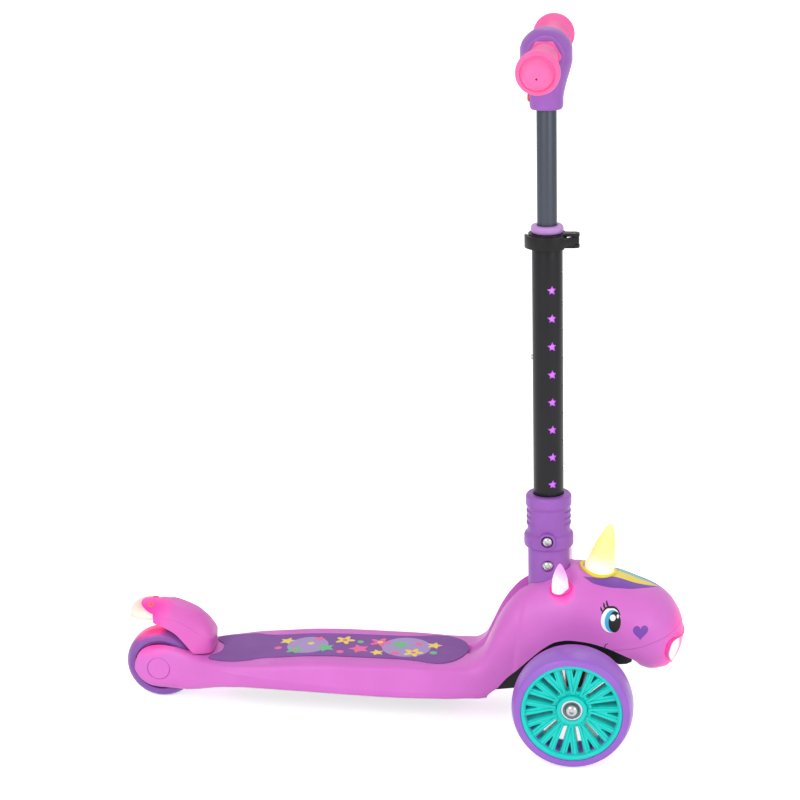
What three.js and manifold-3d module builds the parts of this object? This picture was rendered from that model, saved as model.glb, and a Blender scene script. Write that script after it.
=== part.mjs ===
// Three wheel kids scooter with an animal head at the front, in millimetres.
// +X is forward, +Y is the rider's left and +Z is up. The origin lies on the floor,
// below the middle of the scooter's length. Run it with the npm packages three and manifold-3d.
import * as THREE from 'three';
import { mergeVertices } from 'three/addons/utils/BufferGeometryUtils.js';
import Module from 'manifold-3d';

const wasm = await Module();
wasm.setup();

// Driving dimensions of the whole scooter
const wheelbase = 444;
const rearAxleX = -257;
const frontAxleX = rearAxleX + wheelbase;
const rearOverhang = 26;
const noseOverhang = 108;
const neckSetback = 123.2;
const bodyHeight = 171;
const bodyHalfWidth = 57;
const barHeight = 698;
const gap = 0.3;
const overrun = 20;
const bodySides = 20;
const roundSides = 24;
const smallSides = 12;
const hexSides = 6;

// Front wheels
const frontWheelRadius = 61;
const frontWheelHalfWidth = 21.5;
const frontTreadHalfWidth = 8;
const frontRimRadius = 51;
const frontRimInnerRadius = 46;
const frontRimHalfWidth = 18.5;
const rimEdgeProud = 1.5;
const tyreShoulderDrop = 2.5;
const wheelSides = 32;
const track = 243;
const wheelHubRadius = 14.3;
const wheelHubHalfLength = 14;
const spokePairs = 12;
const spokeThickness = 3;
const spokeHalfDepth = 13;
const spokeSpreadAtHub = 4.4;
const spokeSpreadAtRim = 13;

// Rear wheel
const rearWheelRadius = 38;
const rearWheelHalfWidth = 15;
const rearTreadHalfWidth = 9;
const rearRimRadius = 27;
const rearRimHalfWidth = 12;
const rearWebHalf = 4;
const rearHubHalfLength = 14;
const rearBearingInset = 0.5;
const rearBearingFace = rearHubHalfLength - rearBearingInset;

// Ball bearings and their axles
const bearingRadius = 11;
const bearingBoreRadius = 4.3;
const bearingWidth = 7;
const bearingInset = 1.5;
const axleRadius = 4;
const axleHeadRadius = 6.5;
const axleHeadLength = 4;

// Stem, from the floor up along its own raked axis
const stemSetback = 29.3;
const stemRake = 1.28;
const stemTubeRadius = 15.5;
const stemTubeWall = 1.8;
const stemTubeBottom = 112;
const barShowing = 117;
const starRadius = 6;
const starInnerRadius = 2.7;
const starPoints = 5;
const starCount = 8;
const starTopMargin = 27.4;
const lowestStar = 257;
const starRowTurn = 68.4;
const lightGuideWall = 1.2;
const lightGuideBottom = 246;
const lightGuideBelowTop = 26;
const innerTubeRadius = 10;
const innerTubeWall = 1.6;
const barTravel = 110;
const innerTubeOverlap = 36;
const bushRadius = 16.5;
const bushHeight = 8;
const bushSpigotLength = 18;
const snapButtonBelowTop = 129;
const snapButtonRadius = 2.5;
const snapButtonProud = 2.2;

// Socket and collar at the stem's foot
const socketRadius = 21.6;
const socketFlareRadius = 25;
const socketBottom = 108;
const socketFlareHeight = 132;
const collarBottom = 188;
const collarBandTop = 203;
const collarBandRadius = 25.6;
const collarBodyRadius = 21.8;
const collarLipRadius = 23.6;
const collarLipBottom = 230;
const collarTop = 244;
const collarRibRadius = 23;
const collarRibHeight = 3;
const collarRibPitch = 6.4;
const collarRibCount = 3;
const collarRibHalfWidth = 14;
const edgeRound = 2.5;
const stemBoltHeights = [171, 199];
const stemBoltRadius = 3;
const stemBoltHeadRadius = 5.6;
const stemBoltHeadLength = 3;
const boltBossRadius = 8.6;
const boltBossProud = 1.6;

// Quick release clamp
const clampRadius = 19;
const clampBelowTop = 15;
const clampHeight = 15;
const clampPinX = 27;
const clampPinRadius = 2;
const clampLugRadius = 5.5;
const clampLugHeight = 3.2;
const leverThickness = 4.5;
const leverEndInset = 1;
const leverGap = 0.6;
const leverStart = -42;
const leverEnd = -172;
const leverSteps = 14;

// Handlebar
const hubBelowBar = 55;
const hubAboveBar = 25;
const hubHalfX = 25.7;
const hubHalfY = 23;
const hubSides = 20;
const hubSquareness = 2.4;
const hubSleeveRadius = 19;
const hubSleeveHalfLength = 25;
const crossbarRadius = 11;
const crossbarWall = 1.8;
const crossbarHalfLength = 122;
const gripRadius = 13.8;
const gripHexRadius = 17;
const gripHexLength = 5;
const gripFlangeRadius = 21.3;
const gripFlangeInner = 117;
const gripFlangeOuter = 127;
const gripCapRadius = 14.6;
const gripCapInner = 135;
const gripEnd = 142;
const lightButtonRadius = 4.5;
const lightButtonBelowBar = 44;
const lightButtonProud = 2;
const lightButtonTravel = 1.5;
const lightButtonLength = 5;

// Deck, neck, head and rear fork
const shellWall = 3.5;
const headSplitSetback = 66;
const valleyHalfWidth = 14;
const deckHollowSetback = 69;
const deckHollowShort = 2.2;
const headHollowBehind = 53;
const headHollowAhead = 81;
const forkArmHalfWidth = 25.4;
const forkCapRadius = 12;
const forkCapThickness = 2;
const forkSlotHalfWidth = 17.5;
const forkSlotRadius = 42;
const matThickness = 2.6;
const matProud = 1;
const trayThickness = 4;
const trayUnderside = 28;
const trayHalfWidth = 40;
const trayRibCount = 7;
const trayRibThickness = 2.4;
const trayRibHeight = 9;
const batteryCoverLength = 62;
const batteryCoverHalfWidth = 24;
const batteryCoverThickness = 2;
const batteryCoverSetback = 84;
const linerHalfWidth = 43;

// Truck and kingpin
const kingpinLean = 45;
const kingpinRadius = 5;
const kingpinHeadRadius = 9;
const kingpinHeadLength = 4;
const kingpinTop = 38;
const runningGap = 0.1;
const truckCoreRadius = 15;
const truckCoreBottom = -14;
const truckCoreTop = 13;
const truckBushRadius = 12;
const truckBushTop = 23;
const linerBossRadius = 14;
const linerBossTop = 44;
const beamClearance = 12;
const beamRootHalf = 13;
const beamEndHalf = 8.5;
const axleBoltGrip = 43;
const beamSquareness = 4;

// Brake
const brakeHalfWidth = 25;
const tailLightBevel = 4;
const brakePinAhead = 48;
const brakePinZ = 47;
const brakeSwingRoom = 1.2;
const brakePinRadius = 2.5;
const brakeEyeRadius = 6;
const brakeEyeHalfWidth = 12;
const brakePadHalfWidth = 12;
const brakePadGap = 3.3;
const brakePadSteps = 6;
const brakePadRows = 5;
const brakeTop = 106;
const brakeBehindAxle = 11;
const brakeAheadOfAxle = 58;
const brakeFoot = 57.5;
const tailLightDepth = 23;
const tailLightHalfWidth = 22;
const tailLightBottom = 84;
const tailLightTop = 104.5;

// Horn, ears and nose light
const hornBaseAhead = 19;
const hornBaseRadius = 15.4;
const hornTipAhead = 10.7;
const hornHeight = 54;
const hornBaseDrop = 12;
const hornSink = 6;
const hornRingHeight = 2.4;
const hornRingRadius = 20.3;
const hornRingTilt = 9.3;
const hornRingDrop = 9.8;
const hornRingBehindHorn = 1;
const earSetback = 19;
const earY = 34.5;
const earDrop = 25.5;
const earHeight = 52;
const earHalfLength = 8.5;
const earHalfThickness = 5.5;
const earLean = 22;
const earSink = 9;
const earSweep = 0.5;
const earSides = 14;
const noseAhead = 98;
const noseDrop = 83.3;
const noseHalfWidth = 31;
const noseHalfHeight = 16.5;
const noseTilt = 28;
const noseLensProud = 1.2;
const noseLensDepth = 2.4;
const noseSides = 24;

// Profiles of the pink body: the deck from the fork's rear end to the neck, then the head from
// the neck to the nose. Each row holds the place along the deck or the head, the top, the bottom,
// the widest height and the half width, as shares of that part's length, of bodyHeight three
// times and of bodyHalfWidth, then two squareness powers.
const deckProfileShares = [
  [0, 0.27, 0.175, 0.222, 0.421, 2.6, 2.6],
  [0.01, 0.318, 0.132, 0.222, 0.43, 3, 3],
  [0.0283, 0.351, 0.094, 0.222, 0.435, 3.4, 3.4],
  [0.0517, 0.369, 0.075, 0.222, 0.44, 3.6, 3.6],
  [0.0783, 0.374, 0.07, 0.222, 0.442, 3.8, 3.8],
  [0.1183, 0.365, 0.075, 0.225, 0.45, 4, 4],
  [0.1533, 0.344, 0.088, 0.232, 0.49, 4.2, 4],
  [0.19, 0.325, 0.11, 0.246, 0.58, 4.6, 4],
  [0.225, 0.316, 0.135, 0.27, 0.69, 5, 4],
  [0.2717, 0.319, 0.155, 0.28, 0.81, 5.5, 4.5],
  [0.35, 0.333, 0.157, 0.275, 0.93, 5.5, 5],
  [0.45, 0.347, 0.157, 0.262, 0.985, 5.5, 5],
  [0.6433, 0.3715, 0.152, 0.236, 1.0, 5.5, 5],
  [0.8333, 0.3743, 0.15, 0.22, 0.965, 5.5, 5],
  [0.9583, 0.3743, 0.154, 0.22, 0.915, 5.2, 5],
];
const headProfileShares = [
  [0.045, 0.388, 0.158, 0.23, 0.885, 4.6, 4.5],
  [0.1, 0.442, 0.155, 0.245, 0.875, 4.2, 4],
  [0.135, 0.541, 0.157, 0.27, 0.87, 3.8, 3.6],
  [0.1675, 0.643, 0.166, 0.3, 0.868, 3.5, 3.3],
  [0.2075, 0.74, 0.17, 0.345, 0.866, 3.2, 3],
  [0.26, 0.826, 0.18, 0.41, 0.866, 3, 3],
  [0.315, 0.88, 0.2, 0.48, 0.875, 2.8, 3],
  [0.375, 0.921, 0.22, 0.56, 0.89, 2.6, 3],
  [0.445, 0.962, 0.24, 0.63, 0.905, 2.6, 3],
  [0.52, 0.974, 0.26, 0.66, 0.93, 2.5, 2.8],
  [0.6, 0.955, 0.28, 0.668, 0.945, 2.3, 2.6],
  [0.695, 0.932, 0.3, 0.66, 0.945, 2.2, 2.5],
  [0.78, 0.894, 0.333, 0.64, 0.915, 2.2, 2.4],
  [0.8625, 0.851, 0.345, 0.615, 0.835, 2.2, 2.3],
  [0.925, 0.794, 0.366, 0.59, 0.7, 2.2, 2.2],
  [0.9675, 0.722, 0.425, 0.575, 0.52, 2.1, 2.1],
  [0.9925, 0.643, 0.5, 0.565, 0.28, 2, 2],
  [1, 0.585, 0.545, 0.562, 0.1, 2, 2],
];

// Half outline of the foot mat: place along its length and half width, as shares.
const matAheadOfAxle = 54;
const matLength = 276;
const matHalfWidth = 38;
const matOutlineShares = [
  [0.045, 0.0], [0.04, 0.3], [0.012, 0.52], [0.0, 0.68], [0.012, 0.82], [0.05, 0.93],
  [0.12, 1.0], [0.165, 0.97], [0.19, 0.87], [0.225, 0.815], [0.5, 0.8], [0.74, 0.81],
  [0.8, 0.86], [0.85, 0.98], [0.885, 1.0], [0.915, 0.95], [0.95, 0.78], [0.98, 0.48], [1.0, 0.0],
];

// Brake, from its rear to its front. Each row holds the places and heights of the wall's lower
// edge, of the ridge above it and of the crest, as shares of the brake's length and height.
const brakeProfileShares = [
  [0, 0.69, 0, 0.887, 0, 0.979], [0.145, 0.666, 0.159, 0.856, 0.174, 1],
  [0.297, 0.608, 0.319, 0.804, 0.326, 0.963], [0.42, 0.526, 0.457, 0.722, 0.471, 0.897],
  [0.522, 0.392, 0.58, 0.643, 0.616, 0.81], [0.609, 0.258, 0.703, 0.557, 0.754, 0.691],
  [0.681, 0.099, 0.819, 0.443, 0.87, 0.546], [0.732, 0, 0.928, 0.381, 0.942, 0.412],
  [0.98, 0, 0.99, 0.33, 1, 0.335],
];
const brakeWidthShares = [0.96, 1, 1, 1, 1, 0.99, 0.97, 0.9, 0.66];
const brakeRidgeShare = 0.93;
const brakeCrownShare = 0.55;
const brakeCrownLift = 0.78;

// Half sections of the handlebar's hub: height share, half length share, half width share.
const hubProfileShares = [
  [0.0, 0.63, 0.66], [0.03, 0.65, 0.68], [0.11, 0.65, 0.68], [0.22, 0.7, 0.73], [0.36, 0.82, 0.83],
  [0.52, 0.96, 0.96], [0.6, 1.0, 1.0], [0.74, 1.0, 1.0], [0.82, 0.92, 0.93], [0.9, 0.74, 0.78],
  [0.96, 0.5, 0.55], [1.0, 0.2, 0.24],
];

// Edge of the wheel arch from the neck's underside to the jaw, as shares of the head and bodyHeight.
const archShares = [
  [0.1436, 0.1], [0.1544, 0.193], [0.187, 0.254], [0.22, 0.318], [0.265, 0.38], [0.325, 0.462],
  [0.385, 0.537], [0.4425, 0.584], [0.5025, 0.6], [0.5625, 0.596], [0.6625, 0.563],
  [0.7775, 0.476], [0.81, 0.42], [0.825, 0.1],
];

const hubNeckShare = 0.65;

// Floor line of the valley between the two rails, as shares of the head and bodyHeight.
const valleyShares = [
  [0.0375, 0.372], [0.125, 0.44], [0.225, 0.62], [0.34, 0.71], [0.44, 0.77],
];

// Horn: height share, forward share and radius share, from its base to its tip.
const hornProfileShares = [
  [0, 0, 1], [0.01, 0, 1], [0.15, 0.06, 0.99], [0.25, 0.15, 0.97], [0.27, 0.17, 0.92],
  [0.46, 0.4, 0.77], [0.62, 0.58, 0.64], [0.64, 0.6, 0.59], [0.78, 0.78, 0.45], [0.87, 0.87, 0.32],
  [0.94, 0.94, 0.2], [1, 1, 0.04],
];
// Ear: height share and width share.
const earProfileShares = [[0, 0.8], [0.3, 1], [0.55, 0.93], [0.8, 0.62], [0.94, 0.3], [1, 0.08]];
// Tail light: place between its rear and the brake, height between its bottom and top.
const tailLightShares = [
  [1, 0.24], [1, 0.93], [0.6, 1], [0.25, 0.9], [0.03, 0.64], [0, 0.36], [0.12, 0.1], [0.4, 0],
];
// Truck beam: place along its half length, and thickness between its end and its root.
const beamShares = [[-1, 0], [-0.7, 0.4], [-0.2, 1], [0.2, 1], [0.7, 0.4], [1, 0]];
// Lower edge of the arch's liner from its rear to its front, as shares of the head and bodyHeight.
const linerShares = [
  [0.26, 0.24], [0.29, 0.345], [0.343, 0.444], [0.403, 0.509], [0.472, 0.5415], [0.546, 0.544],
  [0.62, 0.523], [0.68, 0.48], [0.719, 0.436], [0.756, 0.4415],
];
// Mouth line from its corner to the nose, as shares of the head and bodyHeight.
const mouthShares = [
  [0.655, 0.545], [0.775, 0.56], [0.8875, 0.605], [1.1, 0.7],
];

// Colours and finishes
function finish(colour, roughness, metalness = 0) {
  return new THREE.MeshStandardMaterial({ color: colour, roughness, metalness });
}
const bodyPink = () => finish('#d96ccb', 0.42);
const lavender = () => finish('#a864c4', 0.42);
const tyreLavender = () => finish('#a569d2', 0.5);
const rimTeal = () => finish('#12d5cb', 0.4);
const gripPink = () => finish('#ff69af', 0.55);
const matPurple = () => finish('#8c5aa5', 0.8);
const blackPlastic = () => finish('#26262a', 0.5);
const blackPaint = () => finish('#1c1c20', 0.45, 0.3);
const greySteel = () => finish('#5c6068', 0.35, 0.9);
const zinc = () => finish('#c8c8c8', 0.3, 1);
const clearLight = () => finish('#ffd7f0', 0.25);
const hornYellow = () => finish('#f6f07a', 0.3);
const tailRed = () => finish('#ff8a80', 0.3);
const buttonRed = () => finish('#f0523c', 0.4);
const blackRubber = () => finish('#1e1e1e', 0.9);
const degrees = THREE.MathUtils.degToRad;
const bodyRear = rearAxleX - rearOverhang;
const neckX = frontAxleX - neckSetback;
const noseTipX = frontAxleX + noseOverhang;
const stemFootX = frontAxleX - stemSetback;
const headSplitX = frontAxleX - headSplitSetback;
const deckHollowRear = rearAxleX + deckHollowSetback;
const deckHollowFront = neckX + deckHollowShort;
const matRear = rearAxleX + matAheadOfAxle;
const brakePinX = rearAxleX + brakePinAhead;
const brakeRear = rearAxleX - brakeBehindAxle;
const brakeFront = rearAxleX + brakeAheadOfAxle;
const hornBaseX = frontAxleX + hornBaseAhead;
const hornTipX = hornBaseX + hornTipAhead;
const hornBaseZ = bodyHeight - hornBaseDrop;
const hornRingZ = bodyHeight - hornRingDrop;
const earX = frontAxleX - earSetback;
const earZ = bodyHeight - earDrop;
const noseX = frontAxleX + noseAhead;
const noseZ = bodyHeight - noseDrop;
const hubBottom = barHeight - hubBelowBar;
const hubTop = barHeight + hubAboveBar;
const stemTubeTop = hubBottom - barShowing - bushHeight;
const starPitch = (stemTubeTop - starTopMargin - lowestStar) / starCount;
const lightGuideTop = stemTubeTop - lightGuideBelowTop;
const snapButtonHeight = stemTubeTop - snapButtonBelowTop;
const clampBottom = stemTubeTop - clampBelowTop;
const stemTubeInner = stemTubeRadius - stemTubeWall;
const frontWheelY = track / 2;

// Solid modelling helpers
function solid(geometry) {
  const bare = new THREE.BufferGeometry();
  bare.setAttribute('position', geometry.getAttribute('position').clone());
  bare.setIndex(geometry.getIndex());
  const merged = mergeVertices(bare, gap / 1000);
  const corners = merged.getIndex().array;
  const triVerts = [];
  for (let i = 0; i < corners.length; i += 3) {
    const [a, b, c] = [corners[i], corners[i + 1], corners[i + 2]];
    if (a !== b && b !== c && c !== a) triVerts.push(a, b, c);
  }
  const vertProperties = new Float32Array(merged.getAttribute('position').array);
  return new wasm.Manifold(
    new wasm.Mesh({ numProp: 3, vertProperties, triVerts: new Uint32Array(triVerts) }),
  );
}

function moved(shape, x, y, z) {
  return shape.translate([x, y, z]);
}

function turnedBy(shape, x, y, z) {
  return shape.rotate([x, y, z]);
}

function mirroredY(shape) {
  return shape.mirror([0, 1, 0]);
}

// A body of revolution about Z, from points of radius and height that run once round its section.
function turned(points, sides = roundSides) {
  let area = 0;
  points.forEach(([r, z], i) => {
    const [nextR, nextZ] = points[(i + 1) % points.length];
    area += r * nextZ - nextR * z;
  });
  const order = area > 0 ? [...points] : [...points].reverse();
  const onAxis = order.findIndex(([r], i) => {
    return r === 0 && order[(i + order.length - 1) % order.length][0] === 0;
  });
  const first = Math.max(onAxis, 0);
  const ring = [...order.slice(first), ...order.slice(0, first)];
  if (onAxis < 0) ring.push(ring[0]);
  const profile = ring.map(([r, z]) => new THREE.Vector2(r, z));
  const lathe = new THREE.LatheGeometry(profile, sides);
  lathe.rotateX(Math.PI / 2);
  return solid(lathe);
}

function rod(radius, low, high, sides = smallSides) {
  return turned([[0, low], [radius, low], [radius, high], [0, high]], sides);
}

function tube(radius, bore, low, high, sides = roundSides) {
  return turned([[bore, low], [radius, low], [radius, high], [bore, high]], sides);
}

function block(lowX, highX, lowY, highY, lowZ, highZ) {
  const box = new THREE.BoxGeometry(highX - lowX, highY - lowY, highZ - lowZ);
  box.translate((lowX + highX) / 2, (lowY + highY) / 2, (lowZ + highZ) / 2);
  return solid(box);
}

// A plate of the given outline, from one height to another.
function plate(outline, low, high) {
  const shape = new THREE.Shape(outline.map(([x, y]) => new THREE.Vector2(x, y)));
  const geometry = new THREE.ExtrudeGeometry(shape, { depth: high - low, bevelEnabled: false });
  geometry.translate(0, 0, low);
  return solid(geometry);
}

// A side profile in X and Z, given its width across Y and, if wanted, rounded edges.
function slab(outline, halfWidth, bevel = 0) {
  const shape = new THREE.Shape(outline.map(([x, z]) => new THREE.Vector2(x, z)));
  const geometry = new THREE.ExtrudeGeometry(shape, {
    depth: 2 * (halfWidth - bevel),
    bevelEnabled: bevel > 0,
    bevelThickness: bevel,
    bevelSize: bevel,
    bevelOffset: -bevel,
    bevelSegments: 2,
  });
  geometry.translate(0, 0, bevel - halfWidth);
  geometry.rotateX(Math.PI / 2);
  return solid(geometry);
}

// A closed skin over rings of points, each ring with as many points as the others.
function skin(rings) {
  const count = rings[0].length;
  const points = rings.flat();
  const centre = (ring) => {
    const sum = ring.reduce((total, p) => total.map((value, k) => value + p[k]), [0, 0, 0]);
    return sum.map((value) => value / count);
  };
  points.push(centre(rings[0]), centre(rings[rings.length - 1]));
  const index = [];
  for (let r = 0; r + 1 < rings.length; r += 1) {
    for (let i = 0; i < count; i += 1) {
      const j = (i + 1) % count;
      const [a, b, c, d] = [r * count + i, r * count + j, (r + 1) * count + j, (r + 1) * count + i];
      index.push(a, b, c, a, c, d);
    }
  }
  const start = rings.length * count;
  const last = (rings.length - 1) * count;
  for (let i = 0; i < count; i += 1) {
    const j = (i + 1) % count;
    index.push(start, j, i, start + 1, last + i, last + j);
  }
  const geometry = new THREE.BufferGeometry();
  geometry.setAttribute('position', new THREE.Float32BufferAttribute(points.flat(), 3));
  geometry.setIndex(index);
  const shape = solid(geometry);
  if (shape.volume() > 0) return shape;
  for (let i = 0; i < index.length; i += 3) [index[i], index[i + 1]] = [index[i + 1], index[i]];
  geometry.setIndex(index);
  return solid(geometry);
}

// A squared circle: power 2 is an ellipse, and a higher power is squarer.
function squaredPoint(angle, halfU, halfV, power) {
  const [c, s] = [Math.cos(angle), Math.sin(angle)];
  const u = Math.sign(c) * Math.abs(c) ** (2 / power) * halfU;
  const v = Math.sign(s) * Math.abs(s) ** (2 / power) * halfV;
  return [u, v];
}

const world = new THREE.Group();

function piece(name, shape, material, parent = world) {
  const mesh = shape.getMesh();
  const geometry = new THREE.BufferGeometry();
  geometry.setAttribute('position', new THREE.BufferAttribute(mesh.vertProperties.slice(), 3));
  geometry.setIndex(new THREE.BufferAttribute(mesh.triVerts.slice(), 1));
  geometry.computeVertexNormals();
  const part = new THREE.Mesh(geometry, material);
  part.name = name;
  parent.add(part);
  return shape;
}

// Pink body: one profile carries the fork, the deck, the neck and the head
const onDeck = (along) => bodyRear + along * (neckX - bodyRear);
const onHead = (along) => neckX + along * (noseTipX - neckX);

function bodyRow(place, [along, top, bottom, widest, half, squareTop, squareBottom]) {
  return {
    x: place(along),
    top: top * bodyHeight,
    bottom: bottom * bodyHeight,
    widest: widest * bodyHeight,
    half: half * bodyHalfWidth,
    squareTop,
    squareBottom,
  };
}

const bodyRows = [
  ...deckProfileShares.map((row) => bodyRow(onDeck, row)),
  ...headProfileShares.map((row) => bodyRow(onHead, row)),
];

function bodyAt(x) {
  const next = Math.min(Math.max(bodyRows.findIndex((row) => row.x >= x), 1), bodyRows.length - 1);
  const [before, after] = [bodyRows[next - 1], bodyRows[next]];
  const t = (x - before.x) / (after.x - before.x);
  const mixed = {};
  Object.keys(before).forEach((key) => {
    mixed[key] = before[key] + (after[key] - before[key]) * t;
  });
  return mixed;
}

function bodyRing(row, inset = 0, sides = bodySides) {
  const ring = [];
  for (let i = 0; i < sides; i += 1) {
    const angle = (2 * Math.PI * (i + 0.5)) / sides;
    const above = angle < Math.PI;
    const height = above ? row.top - row.widest : row.widest - row.bottom;
    const power = above ? row.squareTop : row.squareBottom;
    const [y, z] = squaredPoint(angle, row.half - inset, height - inset, power);
    ring.push([row.x, y, row.widest + z]);
  }
  return ring;
}

const wholeBody = skin(bodyRows.map((row) => bodyRing(row)));
const stemTurn = (shape) => moved(turnedBy(shape, 0, -stemRake, 0), stemFootX, 0, 0);

function matOutline(extra = 0) {
  const half = matOutlineShares.map(([along, wide]) => [
    matRear + along * matLength + (along > 1 / 2 ? extra : -extra) * (wide < 1 ? 1 : 0),
    wide * matHalfWidth + (wide > 0 ? extra : 0),
  ]);
  const other = half.slice(1, -1).reverse().map(([x, y]) => [x, -y]);
  return [...half, ...other];
}

// The strip that follows the deck's top, from one depth below it to a height above it.
function deckStrip(below, above) {
  const rows = bodyRows.filter((row) => row.x > matRear - overrun && row.x < headSplitX - overrun);
  const upper = rows.map((row) => [row.x, row.top + above]);
  const lower = rows.map((row) => [row.x, row.top - below]).reverse();
  return slab([...upper, ...lower], bodyHalfWidth);
}

const matSink = matThickness - matProud;
const mat = plate(matOutline(), 0, bodyHeight).intersect(deckStrip(matSink, matProud));
const matSeat = plate(matOutline(gap), 0, bodyHeight).intersect(deckStrip(matSink + gap, overrun / 4));

const headPoint = ([along, up]) => [onHead(along), up * bodyHeight];
const valleyLine = valleyShares.map(headPoint);
const [valleyStartX, valleyEndX] = [valleyLine[0][0], valleyLine[valleyLine.length - 1][0]];
const valleyTop = [[valleyEndX, bodyHeight + overrun], [valleyStartX, bodyHeight + overrun]];
const valley = slab([...valleyLine, ...valleyTop], valleyHalfWidth, edgeRound);
const archLine = archShares.map(headPoint);
const archCut = slab(archLine, track);
const deckSide = block(bodyRear - overrun, headSplitX - gap / 2, -track, track, -overrun, track);
const headSide = block(headSplitX + gap / 2, track * 2, -track, track, -overrun, track);

const forkAxleHole = turnedBy(rod(axleRadius + gap, -track, track), 90, 0, 0);
const forkSlotRound = rod(forkSlotRadius, -forkSlotHalfWidth, forkSlotHalfWidth, roundSides);
const forkSlotShape = turnedBy(forkSlotRound, 90, 0, 0)
  .add(block(-track, 0, -forkSlotHalfWidth, forkSlotHalfWidth, -forkSlotRadius, forkSlotRadius));

const brakeRecess = block(
  brakePinX - brakeEyeRadius - brakeSwingRoom, brakePinX + brakeEyeRadius + gap,
  -brakeEyeHalfWidth - gap, brakeEyeHalfWidth + gap,
  brakePinZ - brakeEyeRadius - gap, brakePinZ + overrun,
);
const brakePinHole = moved(
  turnedBy(rod(brakePinRadius + gap, -forkSlotHalfWidth - gap, forkSlotHalfWidth + gap), 90, 0, 0),
  brakePinX, 0, brakePinZ,
);
const forkBossRadius = axleHeadRadius;
const forkCapInner = forkArmHalfWidth - forkCapThickness;
const forkBoss = turnedBy(
  rod(forkBossRadius, rearBearingFace + gap, forkSlotHalfWidth + gap), 90, 0, 0,
);
const forkPocket = turnedBy(
  rod(forkCapRadius + gap, forkCapInner - axleHeadLength - gap, track), 90, 0, 0,
);

function bothSides(shape) {
  return shape.add(mirroredY(shape));
}

function atRearAxle(shape) {
  return moved(shape, rearAxleX, 0, rearWheelRadius);
}

// The deck with its fork and neck, open below, where the under tray closes it
function deckHollow() {
  const stations = 9;
  const rings = [];
  for (let i = 0; i < stations; i += 1) {
    const row = bodyAt(deckHollowRear + ((deckHollowFront - deckHollowRear) * i) / (stations - 1));
    const roof = bodyRing(row, shellWall, smallSides).slice(0, smallSides / 2);
    const edge = trayHalfWidth + gap;
    rings.push([
      ...roof, [row.x, -edge, row.widest - shellWall], [row.x, -edge, -overrun],
      [row.x, edge, -overrun], [row.x, edge, row.widest - shellWall],
    ]);
  }
  return skin(rings);
}

const deckShell = wholeBody.intersect(deckSide)
  .subtract(deckHollow())
  .subtract(matSeat)
  .subtract(valley)
  .subtract(archCut)
  .subtract(atRearAxle(forkSlotShape))
  .add(atRearAxle(bothSides(forkBoss)))
  .subtract(atRearAxle(forkAxleHole))
  .subtract(atRearAxle(bothSides(forkPocket)))
  .subtract(brakeRecess)
  .subtract(brakePinHole);
piece('deck_shell', deckShell, bodyPink());
piece('grip_mat', mat, matPurple());

const forkCap = turnedBy(turned([
  [0, forkCapInner], [forkCapRadius, forkCapInner], [forkCapRadius, forkArmHalfWidth - gap],
  [forkCapRadius - forkCapThickness, forkArmHalfWidth], [0, forkArmHalfWidth],
], smallSides), 90, 0, 0);
piece('fork_cap_right', atRearAxle(forkCap), bodyPink());
piece('fork_cap_left', atRearAxle(mirroredY(forkCap)), bodyPink());

// Under tray with its battery cover
const trayRear = deckHollowRear + gap;
const trayFront = deckHollowFront - gap;
const batteryCoverX = neckX - batteryCoverSetback;
const trayTop = trayUnderside + trayThickness;
const coverHalf = batteryCoverLength / 2;
const ribs = [];
for (let i = 1; i <= trayRibCount; i += 1) {
  const x = trayRear + ((trayFront - trayRear) * i) / (trayRibCount + 1);
  ribs.push(block(
    x - trayRibThickness / 2, x + trayRibThickness / 2, -trayHalfWidth + trayRibHeight,
    trayHalfWidth - trayRibHeight, trayTop - gap, trayTop + trayRibHeight,
  ));
}
const coverSeat = block(
  batteryCoverX - coverHalf - gap, batteryCoverX + coverHalf + gap, -batteryCoverHalfWidth - gap,
  batteryCoverHalfWidth + gap, -overrun, trayUnderside + batteryCoverThickness + gap,
);
const tray = ribs.reduce(
  (sum, rib) => sum.add(rib),
  block(trayRear, trayFront, -trayHalfWidth, trayHalfWidth, trayUnderside, trayTop),
);
piece('under_tray', tray.subtract(coverSeat), blackPlastic());
piece('battery_cover', block(
  batteryCoverX - coverHalf, batteryCoverX + coverHalf, -batteryCoverHalfWidth,
  batteryCoverHalfWidth, trayUnderside, trayUnderside + batteryCoverThickness,
), blackPlastic());

// Horn with its base ring, the two ears and the nose light
function hornRing([up, along, radius], extra) {
  const ring = [];
  const z = hornBaseZ + up * hornHeight - (up > 0 ? 0 : hornSink + extra);
  const x = hornBaseX + along * (hornTipX - hornBaseX);
  for (let i = 0; i < smallSides; i += 1) {
    const angle = (2 * Math.PI * i) / smallSides;
    const reach = radius * hornBaseRadius + extra;
    ring.push([x + Math.cos(angle) * reach, Math.sin(angle) * reach, z]);
  }
  return ring;
}
const horn = (extra) => skin(hornProfileShares.map((row) => hornRing(row, extra)));

function ear(extra) {
  const rings = earProfileShares.map(([up, wide]) => {
    const ring = [];
    for (let i = 0; i < earSides; i += 1) {
      const angle = (2 * Math.PI * i) / earSides;
      const lengthwise = Math.cos(angle) * (wide * earHalfLength + extra);
      const across = Math.sin(angle) * (wide * earHalfThickness + extra);
      ring.push([lengthwise - up * up * earSweep, across, up * (earHeight + extra) - earSink]);
    }
    return ring;
  });
  return moved(turnedBy(skin(rings), earLean, 0, 0), earX, -earY, earZ);
}

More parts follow.
